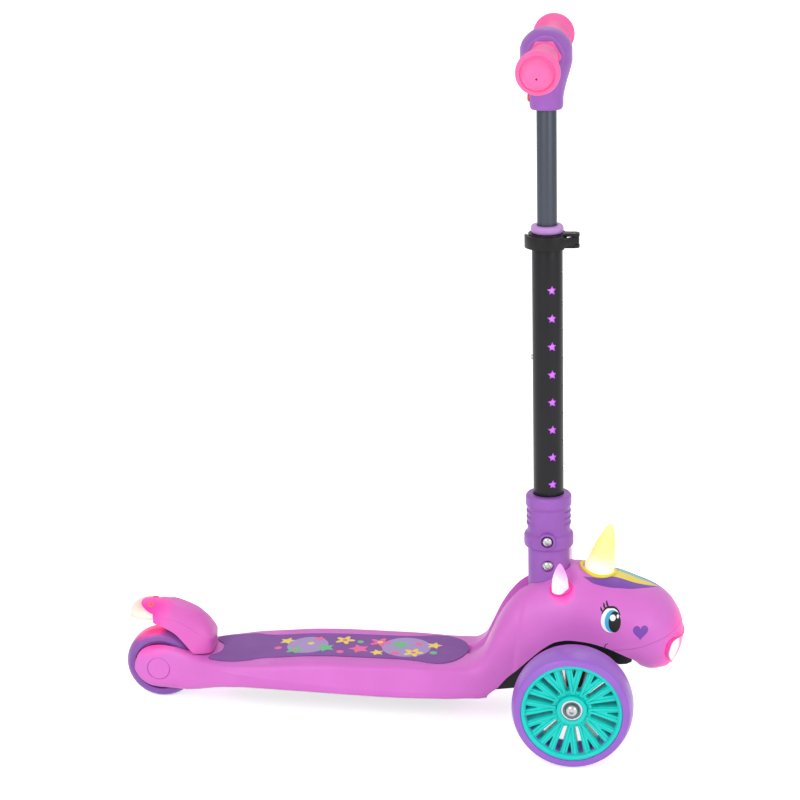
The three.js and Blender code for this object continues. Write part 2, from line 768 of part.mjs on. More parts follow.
// The nose light's lens wraps round the front: a straight oval between two shifted bodies.
function noseOval(extra) {
  const rings = [-noseHalfWidth, noseHalfWidth].map((out) => {
    const ring = [];
    for (let i = 0; i < noseSides; i += 1) {
      const angle = (2 * Math.PI * i) / noseSides;
      const up = Math.cos(angle) * (noseHalfHeight + extra);
      const across = Math.sin(angle) * (noseHalfWidth + extra);
      ring.push([-up, across, out]);
    }
    return ring;
  });
  return moved(turnedBy(skin(rings), 0, 90 + noseTilt, 0), noseX, 0, noseZ);
}
const shiftedAlongNose = (distance) => moved(
  wholeBody, Math.cos(degrees(noseTilt)) * distance, 0, -Math.sin(degrees(noseTilt)) * distance,
);
const noseLens = noseOval(0).intersect(shiftedAlongNose(noseLensProud))
  .subtract(shiftedAlongNose(-noseLensDepth));
const noseSeat = noseOval(gap).subtract(shiftedAlongNose(-noseLensDepth - gap));

// The head, split along the mouth, with a hollow that opens at the wheel arch
function headHollow() {
  const rings = [];
  const stations = 13;
  const headHollowRear = frontAxleX - headHollowBehind;
  const headHollowFront = frontAxleX + headHollowAhead;
  for (let i = 0; i < stations; i += 1) {
    const x = headHollowRear + ((headHollowFront - headHollowRear) * i) / (stations - 1);
    rings.push(bodyRing(bodyAt(x), shellWall, smallSides));
  }
  return skin(rings);
}
const socketRoom = stemTurn(
  rod(socketFlareRadius + gap, socketBottom - gap, socketFlareHeight, roundSides)
    .add(rod(socketRadius + gap, socketBottom, bodyHeight + overrun, roundSides)),
);
const mouthLine = mouthShares.map(headPoint);
const [mouthCornerX, mouthCornerZ] = mouthLine[0];
const mouthLow = [[noseTipX + overrun, -overrun], [mouthCornerX, -overrun]];
const belowMouth = (shift) => slab([...mouthLine.map(([x, z]) => [x, z + shift]), ...mouthLow], track);
const jawRoom = belowMouth(gap / 2).add(
  block(mouthCornerX - gap, mouthCornerX, -track, track, -overrun, mouthCornerZ),
);
const head = wholeBody.intersect(headSide)
  .subtract(headHollow())
  .subtract(archCut)
  .subtract(socketRoom)
  .subtract(valley);
piece('head_shell', head.subtract(jawRoom).subtract(horn(gap))
  .subtract(ear(gap)).subtract(mirroredY(ear(gap))), bodyPink());
piece('jaw_shell', head.intersect(belowMouth(-gap / 2)).subtract(noseSeat), bodyPink());
piece('horn', horn(0), hornYellow());
const ringBlank = moved(turnedBy(
  tube(hornRingRadius, hornBaseRadius / 2, -hornSink * 2, hornRingHeight), 0, hornRingTilt, 0,
), hornBaseX - hornRingBehindHorn, 0, hornRingZ);
const ringSeat = moved(wholeBody, 0, 0, gap);
piece('horn_base_ring', ringBlank.subtract(ringSeat).subtract(horn(gap)), hornYellow());
piece('ear_right', ear(0), clearLight());
piece('ear_left', mirroredY(ear(0)), clearLight());
piece('nose_lens', noseLens, clearLight());

// Black liner of the wheel arch, with the kingpin's boss
const truckPlace = (shape) => moved(
  turnedBy(shape, 0, kingpinLean, 0), frontAxleX, 0, frontWheelRadius,
);
const archEdge = archLine.slice(1, -2);
const linerOutline = [
  ...archEdge.map(([x, z]) => [x, z - gap]),
  ...linerShares.map(headPoint).reverse(),
];
const bossRod = rod(linerBossRadius, truckBushTop + gap, linerBossTop);
const kingpinRoom = rod(kingpinRadius + gap, truckCoreBottom, kingpinTop + gap);
const liner = slab(linerOutline, linerHalfWidth)
  .add(truckPlace(bossRod))
  .subtract(truckPlace(kingpinRoom));
piece('arch_liner', liner, blackPlastic());

// Truck: core and beam that turn on the leaning kingpin
const truckGroup = new THREE.Group();
truckGroup.position.set(frontAxleX, 0, frontWheelRadius);
truckGroup.rotation.y = degrees(kingpinLean);
world.add(truckGroup);

const hubInnerFace = frontWheelY - wheelHubHalfLength + bearingInset;
const beamHalfLength = frontWheelY - wheelHubHalfLength - beamClearance;
const axleBoltInner = beamHalfLength - axleBoltGrip;
function beamRing([along, size]) {
  const ring = [];
  for (let i = 0; i < smallSides; i += 1) {
    const angle = (2 * Math.PI * i) / smallSides;
    const half = beamEndHalf + (beamRootHalf - beamEndHalf) * size;
    const [x, z] = squaredPoint(angle, half, half, beamSquareness);
    ring.push([x, along * beamHalfLength, z]);
  }
  return ring;
}
const spigot = turnedBy(rod(axleHeadRadius, beamHalfLength - gap, hubInnerFace - gap), 90, 0, 0);
const axleBore = turnedBy(rod(axleRadius + gap, axleBoltInner - gap, track), 90, 0, 0);
const beam = turnedBy(
  skin(beamShares.map(beamRing)).add(bothSides(spigot)).subtract(bothSides(axleBore)),
  0, -kingpinLean, 0,
);
const core = rod(truckCoreRadius, truckCoreBottom, truckCoreTop, roundSides);
const kingpinBore = rod(kingpinRadius + runningGap, -track, track, roundSides);
const kingpinClear = rod(kingpinHeadRadius + gap, -track, truckCoreBottom)
  .add(tube(track, 0, truckBushTop, track));
piece('truck_beam', beam.add(core).subtract(kingpinBore).subtract(kingpinClear)
  .subtract(tube(truckBushRadius + gap, 0, truckCoreTop, track)), blackPlastic(), truckGroup);
piece('truck_bush', tube(
  truckBushRadius, kingpinRadius + gap, truckCoreTop + gap, truckBushTop, smallSides,
), blackRubber(), truckGroup);
piece('kingpin', rod(kingpinRadius, truckCoreBottom - gap * 2, kingpinTop, roundSides).add(
  rod(kingpinHeadRadius, truckCoreBottom - gap - kingpinHeadLength, truckCoreBottom - gap),
), zinc(), truckGroup);

// Front wheels, built with the outer face towards +Z and then turned outwards
const rimEdge = frontRimHalfWidth + rimEdgeProud;
const shoulder = frontWheelHalfWidth - tyreShoulderDrop;
const frontTyreHalf = [
  [frontRimRadius + gap, rimEdge], [frontRimRadius + tyreShoulderDrop, frontWheelHalfWidth],
  [frontWheelRadius - 2 * tyreShoulderDrop, shoulder],
  [frontWheelRadius - tyreShoulderDrop / 2, (shoulder + frontTreadHalfWidth) / 2],
  [frontWheelRadius, frontTreadHalfWidth],
];
const twoSided = (half) => [...half, ...half.map(([r, z]) => [r, -z]).reverse()];
const frontTyre = turned(twoSided(frontTyreHalf), wheelSides);
const frontRing = turned(twoSided([
  [frontRimInnerRadius, frontRimHalfWidth], [frontRimInnerRadius + edgeRound, rimEdge],
  [frontRimRadius - edgeRound / 2, rimEdge], [frontRimRadius, frontRimHalfWidth],
]), wheelSides);
const bearingSeatDepth = wheelHubHalfLength - bearingInset - bearingWidth - gap;
const frontHub = turned(twoSided([
  [axleHeadRadius, bearingSeatDepth], [bearingRadius + gap, bearingSeatDepth],
  [bearingRadius + gap, wheelHubHalfLength], [wheelHubRadius, wheelHubHalfLength],
]), smallSides);
function spoke(turn, side) {
  const inner = wheelHubRadius - spokeThickness / 2;
  const outer = frontRimInnerRadius + spokeThickness / 2;
  const [near, far] = [side * spokeSpreadAtHub / 2, side * spokeSpreadAtRim / 2];
  const half = spokeThickness / 2;
  const outline = [
    [inner, near - half], [outer, far - half], [outer, far + half], [inner, near + half],
  ];
  return turnedBy(plate(outline, -spokeHalfDepth, spokeHalfDepth), 0, 0, turn);
}
let frontRim = frontRing.add(frontHub);
for (let pair = 0; pair < spokePairs; pair += 1) {
  const turn = (360 * pair) / spokePairs;
  frontRim = frontRim.add(spoke(turn, 1)).add(spoke(turn, -1));
}
const bearing = (inset, hubHalf) => tube(
  bearingRadius, bearingBoreRadius, hubHalf - inset - bearingWidth, hubHalf - inset, smallSides,
);
const frontBearing = bearing(bearingInset, wheelHubHalfLength);
const boltFace = wheelHubHalfLength - bearingInset + gap;
const axleBolt = rod(axleRadius, axleBoltInner - frontWheelY, boltFace + axleHeadLength / 2)
  .add(rod(axleHeadRadius - gap, boltFace, boltFace + axleHeadLength));

[['right', -1], ['left', 1]].forEach(([side, sign]) => {
  const wheel = new THREE.Group();
  wheel.position.set(frontAxleX, sign * frontWheelY, frontWheelRadius);
  wheel.rotation.x = -sign * Math.PI / 2;
  world.add(wheel);
  piece(`tyre_${side}`, frontTyre, tyreLavender(), wheel);
  piece(`rim_${side}`, frontRim, rimTeal(), wheel);
  piece(`outer_bearing_${side}`, frontBearing, zinc(), wheel);
  piece(`inner_bearing_${side}`, frontBearing.mirror([0, 0, 1]), zinc(), wheel);
  piece(`axle_bolt_${side}`, axleBolt, zinc(), wheel);
});

// Rear wheel and its axle
const rearWheel = new THREE.Group();
rearWheel.position.set(rearAxleX, 0, rearWheelRadius);
rearWheel.rotation.x = Math.PI / 2;
world.add(rearWheel);
piece('rear_tyre', turned(twoSided([
  [rearRimRadius + gap, rearRimHalfWidth], [rearRimRadius + rimEdgeProud, rearWheelHalfWidth],
  [rearWheelRadius - tyreShoulderDrop, rearWheelHalfWidth - rimEdgeProud],
  [rearWheelRadius - rimEdgeProud / 2, (rearWheelHalfWidth + rearTreadHalfWidth) / 2],
  [rearWheelRadius, rearTreadHalfWidth],
]), roundSides), tyreLavender(), rearWheel);
const rearSeatDepth = rearBearingFace - bearingWidth - gap;
piece('rear_rim', turned(twoSided([
  [axleHeadRadius, rearSeatDepth], [bearingRadius + gap, rearSeatDepth],
  [bearingRadius + gap, rearHubHalfLength], [wheelHubRadius, rearHubHalfLength],
  [wheelHubRadius, rearWebHalf], [rearRimRadius - spokeThickness, rearWebHalf],
  [rearRimRadius - spokeThickness, rearRimHalfWidth], [rearRimRadius, rearRimHalfWidth],
]), smallSides * 2), rimTeal(), rearWheel);
const rearBearing = bearing(rearBearingInset, rearHubHalfLength);
piece('rear_bearing_right', rearBearing, zinc(), rearWheel);
piece('rear_bearing_left', rearBearing.mirror([0, 0, 1]), zinc(), rearWheel);
const rearHead = forkCapInner - axleHeadLength;
piece('rear_axle', rod(axleRadius, -rearHead - gap, rearHead + axleHeadLength / 2).add(
  rod(axleHeadRadius, rearHead, rearHead + axleHeadLength - gap),
), zinc(), rearWheel);
piece('rear_axle_nut', turned([
  [0, rearHead + gap], [axleHeadRadius, rearHead + gap],
  [axleHeadRadius, rearHead + axleHeadLength - gap], [0, rearHead + axleHeadLength - gap],
], hexSides).mirror([0, 0, 1]), zinc(), rearWheel);

// Brake over the rear wheel
const brakePoint = (along, up) => [
  brakeRear + along * (brakeFront - brakeRear), brakeFoot + up * (brakeTop - brakeFoot),
];
const brakeFootLine = brakeProfileShares.map(([along, up]) => brakePoint(along, up));
function brakeRing([lowX, lowZ, ridgeX, ridgeZ, crestX, crestZ], i) {
  const half = brakeWidthShares[i] * brakeHalfWidth;
  const low = brakePoint(lowX, lowZ);
  const ridge = brakePoint(ridgeX, ridgeZ);
  const crest = brakePoint(crestX, crestZ);
  const crown = crest.map((value, k) => ridge[k] + brakeCrownLift * (value - ridge[k]));
  const side = [
    [half, low], [half, ridge], [half * brakeRidgeShare, ridge], [half * brakeCrownShare, crown],
  ];
  side[1][1] = ridge.map((value, k) => value + (low[k] - value) * (1 - brakeRidgeShare));
  const nearSide = side.map(([y, [x, z]]) => [x, y, z]);
  const farSide = side.map(([y, [x, z]]) => [x, -y, z]).reverse();
  return [...nearSide, [crest[0], 0, crest[1]], ...farSide, [low[0], 0, low[1]]];
}
const brakeEye = block(
  brakePinX - brakeEyeRadius, brakePinX + brakeEyeRadius, -brakeEyeHalfWidth, brakeEyeHalfWidth,
  brakePinZ, brakeFoot + brakeEyeRadius,
).add(moved(
  turnedBy(rod(brakeEyeRadius, -brakeEyeHalfWidth, brakeEyeHalfWidth), 90, 0, 0),
  brakePinX, 0, brakePinZ,
));
const pinBore = moved(
  turnedBy(rod(brakePinRadius + runningGap, -track, track), 90, 0, 0), brakePinX, 0, brakePinZ,
);
piece('brake_fender', skin(brakeProfileShares.map(brakeRing)).add(brakeEye)
  .subtract(pinBore), bodyPink());
piece('brake_hinge_pin', moved(
  turnedBy(rod(brakePinRadius, -forkSlotHalfWidth, forkSlotHalfWidth), 90, 0, 0),
  brakePinX, 0, brakePinZ,
), zinc());
const padSeat = brakeFootLine.slice(1, brakePadRows).reverse();
const padAngle = ([x, z]) => Math.atan2(z - rearWheelRadius, x - rearAxleX);
const padInner = [];
for (let i = 0; i <= brakePadSteps; i += 1) {
  const [from, to] = [padAngle(padSeat[padSeat.length - 1]), padAngle(padSeat[0])];
  const angle = from + ((to - from) * i) / brakePadSteps;
  padInner.push([
    rearAxleX + Math.cos(angle) * (rearWheelRadius + brakePadGap),
    rearWheelRadius + Math.sin(angle) * (rearWheelRadius + brakePadGap),
  ]);
}
piece('brake_pad', slab(
  [...padSeat.map(([x, z]) => [x, z - gap]), ...padInner], brakePadHalfWidth,
), blackRubber());
const tailPoint = ([along, up]) => [
  brakeRear - tailLightDepth + along * (tailLightDepth - gap),
  tailLightBottom + up * (tailLightTop - tailLightBottom),
];
piece('tail_light_lens', slab(
  tailLightShares.map(tailPoint), tailLightHalfWidth, tailLightBevel,
), tailRed());

// Stem: everything here stands on the raked axis
const stemGroup = new THREE.Group();
stemGroup.position.set(stemFootX, 0, 0);
stemGroup.rotation.y = -degrees(stemRake);
world.add(stemGroup);

function starCut(turn, height) {
  const outline = [];
  for (let i = 0; i < 2 * starPoints; i += 1) {
    const reach = i % 2 ? starInnerRadius : starRadius;
    const angle = Math.PI + (Math.PI * i) / starPoints;
    outline.push([Math.cos(angle) * reach, Math.sin(angle) * reach]);
  }
  const star = plate(outline, stemTubeInner - starRadius / 2, stemTubeRadius + starRadius);
  const cut = turnedBy(star, 0, 90, 0);
  return moved(turnedBy(cut, 0, 0, turn), 0, 0, height);
}
const snapHole = moved(turnedBy(
  rod(snapButtonRadius + gap, 0, 2 * stemTubeRadius), 0, -90, 0,
), 0, 0, snapButtonHeight);
const boltHole = (height) => moved(
  turnedBy(rod(stemBoltRadius + gap, -track, track), 90, 0, 0), 0, 0, height,
);
// A quarter facet's turn keeps the tube's edges off the points of the stars.
let stemTube = turnedBy(
  tube(stemTubeRadius, stemTubeInner, stemTubeBottom, stemTubeTop), 0, 0, 90 / roundSides,
).subtract(snapHole);
stemBoltHeights.forEach((height) => {
  stemTube = stemTube.subtract(boltHole(height));
});
for (let i = 0; i < starCount; i += 1) {
  const height = lowestStar + i * starPitch;
  stemTube = stemTube.subtract(starCut(starRowTurn, height))
    .subtract(starCut(-starRowTurn, height))
    .subtract(starCut(0, height + starPitch / 2));
}
piece('stem_tube', stemTube, blackPaint(), stemGroup);
const guideRadius = stemTubeInner - gap;
piece('star_light_guide', tube(
  guideRadius, guideRadius - lightGuideWall, lightGuideBottom, lightGuideTop,
).subtract(snapHole), clearLight(), stemGroup);

const tubeRoom = stemTubeRadius + gap;
const [lowBolt, highBolt] = stemBoltHeights;
const headRoom = (height, face) => moved(
  bothSides(turnedBy(rod(stemBoltHeadRadius + gap, face - gap, track), 90, 0, 0)), 0, 0, height,
);
const socketBoltFace = socketRadius - stemBoltHeadLength / 2;
const collarBoltFace = collarBandRadius - stemBoltHeadLength / 2;
const socket = turned([
  [0, socketBottom], [socketFlareRadius, socketBottom],
  [socketFlareRadius, socketFlareHeight - stemBoltHeadLength * 2],
  [socketRadius, socketFlareHeight], [socketRadius, collarBottom - gap], [tubeRoom, collarBottom - gap],
  [tubeRoom, stemTubeBottom - gap], [0, stemTubeBottom - gap],
]).subtract(boltHole(lowBolt)).subtract(headRoom(lowBolt, socketBoltFace));
piece('stem_socket', socket, lavender(), stemGroup);

const boss = moved(turnedBy(
  rod(boltBossRadius, -collarBandRadius - boltBossProud, collarBandRadius + boltBossProud), 90, 0, 0,
), 0, 0, highBolt);
const collarBore = tube(tubeRoom, 0, 0, stemTubeTop);
function collarRib(i) {
  const low = collarLipBottom - (i + 1) * collarRibPitch;
  return tube(collarRibRadius, tubeRoom, low, low + collarRibHeight);
}
let collarRibRings = collarRib(0);
for (let i = 1; i < collarRibCount; i += 1) collarRibRings = collarRibRings.add(collarRib(i));
const collarRibs = collarRibRings.intersect(
  block(-track, track, -collarRibHalfWidth, collarRibHalfWidth, 0, stemTubeTop),
);
const collar = turned([
  [tubeRoom - gap / 3, collarBottom], [collarBandRadius - edgeRound / 2, collarBottom],
  [collarBandRadius, collarBottom + edgeRound / 2], [collarBandRadius, collarBandTop - edgeRound],
  [collarBodyRadius, collarBandTop], [collarBodyRadius, collarLipBottom],
  [collarLipRadius, collarLipBottom + edgeRound], [collarLipRadius, collarTop - edgeRound],
  [collarLipRadius - edgeRound, collarTop], [tubeRoom - gap / 3, collarTop],
]).add(boss).add(collarRibs).subtract(collarBore).subtract(boltHole(highBolt))
  .subtract(headRoom(highBolt, collarBoltFace));
piece('stem_collar', collar, lavender(), stemGroup);

const stemBolts = [['lower', lowBolt, socketBoltFace], ['upper', highBolt, collarBoltFace]];
stemBolts.forEach(([name, height, face]) => {
  const bolt = rod(stemBoltRadius, -face, face + stemBoltHeadLength / 2)
    .add(rod(stemBoltHeadRadius, face, face + stemBoltHeadLength));
  piece(`${name}_stem_bolt`, moved(turnedBy(bolt, 90, 0, 0), 0, 0, height), zinc(), stemGroup);
  const nut = tube(
    stemBoltHeadRadius, stemBoltRadius + gap, face, face + stemBoltHeadLength, smallSides,
  );
  piece(`${name}_stem_nut`, moved(turnedBy(nut, -90, 0, 0), 0, 0, height), zinc(), stemGroup);
});

// Bush on the tube's top, the clamp round it and its lever
const bushBore = innerTubeRadius + gap;
piece('tube_top_bush', turned([
  [bushBore, stemTubeTop - bushSpigotLength], [guideRadius, stemTubeTop - bushSpigotLength],
  [guideRadius, stemTubeTop + gap], [bushRadius - edgeRound / 2, stemTubeTop + gap],
  [bushRadius, stemTubeTop + edgeRound], [bushRadius, stemTubeTop + bushHeight - edgeRound],
  [bushRadius - edgeRound / 2, stemTubeTop + bushHeight], [bushBore, stemTubeTop + bushHeight],
]), lavender(), stemGroup);

const clampTop = clampBottom + clampHeight;
const lugs = rod(clampLugRadius, clampBottom, clampTop)
  .translate([clampPinX, 0, 0])
  .add(block(stemTubeRadius, clampPinX, -clampLugRadius, clampLugRadius, clampBottom, clampTop));
const lugGap = block(
  clampRadius, 2 * clampPinX, -clampLugRadius * 2, clampLugRadius * 2,
  clampBottom + clampLugHeight, clampTop - clampLugHeight,
);
const pinRoom = rod(clampPinRadius + runningGap, 0, hubTop).translate([clampPinX, 0, 0]);
piece('clamp_collar', tube(clampRadius, tubeRoom, clampBottom, clampTop).add(lugs).subtract(lugGap)
  .subtract(tube(tubeRoom, 0, 0, hubTop)).subtract(pinRoom), blackPlastic(), stemGroup);
piece('clamp_pin', rod(clampPinRadius, clampBottom + gap, clampTop - gap)
  .translate([clampPinX, 0, 0]), zinc(), stemGroup);
function leverOutline() {
  const inner = [];
  const outer = [];
  for (let i = 0; i <= leverSteps; i += 1) {
    const angle = degrees(leverStart + ((leverEnd - leverStart) * i) / leverSteps);
    const ways = [Math.cos(angle), Math.sin(angle)];
    inner.push(ways.map((way) => way * (clampRadius + leverGap)));
    outer.push(ways.map((way) => way * (clampRadius + leverGap + leverThickness)));
  }
  return [...inner, ...outer.reverse()];
}
const arm = leverOutline();
const leverLow = clampBottom + clampLugHeight + gap;
const leverHigh = clampTop - clampLugHeight - gap;
const leverEyeRadius = clampLugRadius - gap;
const leverLink = plate([
  arm[0], arm[arm.length - 1],
  [clampPinX + leverEyeRadius / 2, -leverEyeRadius], [clampPinX - leverEyeRadius / 2, -leverEyeRadius / 2],
], leverLow, leverHigh);
piece('clamp_lever', plate(arm, clampBottom + leverEndInset, clampTop - leverEndInset)
  .add(leverLink).add(rod(leverEyeRadius, leverLow, leverHigh).translate([clampPinX, 0, 0]))
  .subtract(pinRoom), blackPlastic(), stemGroup);

const snapTip = stemTubeRadius + snapButtonProud;
const snapButton = turned([
  [0, stemTubeInner], [snapButtonRadius, stemTubeInner],
  [snapButtonRadius, snapTip - snapButtonRadius / 2], [snapButtonRadius / 2, snapTip], [0, snapTip],
], smallSides);
piece('snap_button', moved(turnedBy(snapButton, 0, -90, 0), 0, 0, snapButtonHeight), zinc(), stemGroup);

// Bar: inner tube, hub, crossbar and grips
const innerTubeTop = barHeight - crossbarRadius - gap;
const innerTubeBottom = stemTubeTop - barTravel - innerTubeOverlap;
piece('inner_tube', tube(
  innerTubeRadius, innerTubeRadius - innerTubeWall, innerTubeBottom, innerTubeTop,
), greySteel(), stemGroup);
const hubRings = hubProfileShares.map(([up, long, wide]) => {
  const ring = [];
  for (let i = 0; i < hubSides; i += 1) {
    const angle = (2 * Math.PI * i) / hubSides;
    const [x, y] = squaredPoint(angle, long * hubHalfX, wide * hubHalfY, hubSquareness);
    ring.push([x, y, hubBottom + up * (hubTop - hubBottom)]);
  }
  return ring;
});
const acrossBar = (shape) => moved(turnedBy(shape, 90, 0, 0), 0, 0, barHeight);
const lightButtonHeight = barHeight - lightButtonBelowBar;
const buttonFace = hubNeckShare * hubHalfX;
const buttonBack = buttonFace + lightButtonProud - lightButtonLength;
const buttonRoom = moved(turnedBy(
  rod(lightButtonRadius + gap, buttonBack - lightButtonTravel - gap, track), 0, -90, 0,
), 0, 0, lightButtonHeight);
piece('handle_hub', skin(hubRings)
  .add(acrossBar(rod(hubSleeveRadius, -hubSleeveHalfLength, hubSleeveHalfLength, roundSides)))
  .subtract(acrossBar(rod(crossbarRadius + gap, -track, track, roundSides)))
  .subtract(rod(innerTubeRadius + gap, 0, innerTubeTop + gap, roundSides))
  .subtract(buttonRoom), lavender(), stemGroup);
piece('crossbar', acrossBar(tube(
  crossbarRadius, crossbarRadius - crossbarWall, -crossbarHalfLength, crossbarHalfLength,
)), greySteel(), stemGroup);
const gripInner = hubSleeveHalfLength + gap;
const gripShape = turned([
  [0, gripInner], [gripRadius, gripInner], [gripRadius, gripFlangeInner],
  [gripFlangeRadius - edgeRound, gripFlangeInner], [gripFlangeRadius, gripFlangeInner + edgeRound],
  [gripFlangeRadius, gripFlangeOuter - edgeRound], [gripFlangeRadius - edgeRound, gripFlangeOuter],
  [gripCapRadius, gripCapInner], [gripCapRadius - edgeRound / 2, gripCapInner + edgeRound],
  [gripCapRadius / 2, gripEnd - gap], [0, gripEnd],
]).add(turned([
  [0, gripInner], [gripHexRadius, gripInner], [gripHexRadius, gripInner + gripHexLength],
  [0, gripInner + gripHexLength],
], hexSides)).subtract(rod(crossbarRadius + gap, 0, crossbarHalfLength + gap, roundSides));
piece('grip_right', acrossBar(gripShape), gripPink(), stemGroup);
piece('grip_left', acrossBar(gripShape.mirror([0, 0, 1])), gripPink(), stemGroup);
const button = turned([
  [0, buttonBack], [lightButtonRadius, buttonBack],
  [lightButtonRadius, buttonFace + lightButtonProud - gap * 2],
  [lightButtonRadius - gap * 2, buttonFace + lightButtonProud], [0, buttonFace + lightButtonProud],
], smallSides);
piece('light_button', moved(turnedBy(button, 0, -90, 0), 0, 0, lightButtonHeight), buttonRed(), stemGroup);

export default world;
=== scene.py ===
from math import copysign, cos, exp, hypot, pi, radians, sin, sqrt, tau

import bmesh
import bpy
from mathutils import Matrix, Vector
from mathutils.bvhtree import BVHTree


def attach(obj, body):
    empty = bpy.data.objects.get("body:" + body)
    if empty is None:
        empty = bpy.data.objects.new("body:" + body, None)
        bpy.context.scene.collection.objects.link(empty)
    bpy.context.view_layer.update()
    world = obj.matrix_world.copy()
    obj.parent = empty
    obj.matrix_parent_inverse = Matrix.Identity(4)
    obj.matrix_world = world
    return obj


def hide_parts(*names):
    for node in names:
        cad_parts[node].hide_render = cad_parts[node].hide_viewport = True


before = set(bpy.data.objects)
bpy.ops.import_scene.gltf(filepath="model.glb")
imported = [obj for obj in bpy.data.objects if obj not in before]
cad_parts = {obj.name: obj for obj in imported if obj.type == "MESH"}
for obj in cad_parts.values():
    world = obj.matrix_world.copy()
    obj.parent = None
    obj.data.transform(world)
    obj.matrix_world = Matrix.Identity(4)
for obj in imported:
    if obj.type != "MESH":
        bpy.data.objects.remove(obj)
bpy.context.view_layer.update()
scene = bpy.context.scene
scene.view_settings.view_transform = "Standard"

MM = 0.001

# Camera and stage, in metres and degrees
CAMERA_PLACE = (0.2918, -2.4402, 1.0817)
CAMERA_TURN = 6.86
CAMERA_PITCH = 16.84
LENS_MM = 112.7
FLOOR_SIZE = 40.0
FLOOR_LIFT = 0.62
WORLD_LIGHT = 0.6
LAMPS = [("key_lamp", (-1.3, -2.8, 2.0), 1.8, 42), ("fill_lamp", (2.2, -2.2, 1.3), 1.6, 22),
         ("back_lamp", (0.2, 2.0, 2.6), 1.6, 10)]

# Sizes of the scooter, in millimetres, as the solids have them
REAR_AXLE = (-257, 0, 38)
FRONT_AXLE = (187, 0, 61)
HALF_TRACK = 121.5
BRAKE_HINGE = (-209, 0, 47)
CLAMP_PIN_REACH = 27
BUTTON_HEIGHT = 389
LIGHT_BUTTON_HEIGHT = 654
STEM_FOOT_X = 157.7
STEM_RAKE = 1.28
HORN_FOOT = 159
LOWEST_STAR = 257
STAR_PITCH = 29.2
LOWER_BOLT = 171
UPPER_BOLT = 199
KINGPIN_LEAN = 45
NOSE_PLACE = (270, 0, 90)
NOSE_PITCH = 30
BAR_HEIGHT = 698
GAP = 0.3
MERGE_WITHIN = 0.001
SIDES = ((1, "right"), (-1, "left"))
OTHER_SIDE = Matrix.Scale(-1, 4, (0, 1, 0))


def to_linear(hex_colour):
    """Turns an sRGB hex colour into the linear values that shaders take."""
    values = [int(hex_colour[i:i + 2], 16) / 255 for i in (1, 3, 5)]
    return [v / 12.92 if v <= 0.04045 else ((v + 0.055) / 1.055) ** 2.4 for v in values] + [1.0]


def add_node(tree, kind, settings=None, inputs=None, links=None, stops=()):
    """Adds a node, sets its properties, inputs and colour stops, and links its sockets."""
    node = tree.nodes.new(kind)
    for name, value in (settings or {}).items():
        setattr(node, name, value)
    for name, value in (inputs or {}).items():
        node.inputs[name].default_value = value
    for name, source in (links or {}).items():
        tree.links.new(source, node.inputs[name])
    for i, (share, colour) in enumerate(stops):
        band = node.color_ramp.elements
        stop = band[i] if i < len(band) else band.new(1.0)
        stop.position = share
        stop.color = to_linear(colour)
    return node


# Materials

def new_shader(name, colour, roughness, metallic=0.0, ior=1.5, coat=0.0):
    """A material with its shader, and the object's own coordinates for its patterns."""
    material = bpy.data.materials.new(name)
    material.use_nodes = True
    tree = material.node_tree
    shader = tree.nodes["Principled BSDF"]
    shader.inputs["Base Color"].default_value = to_linear(colour)
    shader.inputs["Roughness"].default_value = roughness
    shader.inputs["Metallic"].default_value = metallic
    shader.inputs["IOR"].default_value = ior
    shader.inputs["Coat Weight"].default_value = coat
    shader.inputs["Specular IOR Level"].default_value = 0.5 if metallic else 0.34
    material.diffuse_color = to_linear(colour)
    place = add_node(tree, "ShaderNodeTexCoord").outputs["Object"]
    return material, tree, shader, place


def add_grain(tree, shader, place, size_mm, gloss=None, bump_mm=0.0, detail=2, ends=(0.0, 1.0)):
    """Uneven gloss, given as its middle and spread, and fine bumps, both from one noise."""
    noise = add_node(tree, "ShaderNodeTexNoise", inputs={"Scale": 1 / (size_mm * MM), "Detail": detail},
                     links={"Vector": place}).outputs[0]
    if gloss:
        dull = add_node(
            tree, "ShaderNodeMapRange",
            inputs={"From Min": ends[0], "From Max": ends[1], "To Min": gloss[0] - gloss[1],
                    "To Max": gloss[0] + gloss[1]}, links={"Value": noise})
        tree.links.new(dull.outputs[0], shader.inputs["Roughness"])
    if bump_mm:
        bump = add_node(tree, "ShaderNodeBump", inputs={"Distance": bump_mm * MM}, links={"Height": noise})
        tree.links.new(bump.outputs[0], shader.inputs["Normal"])


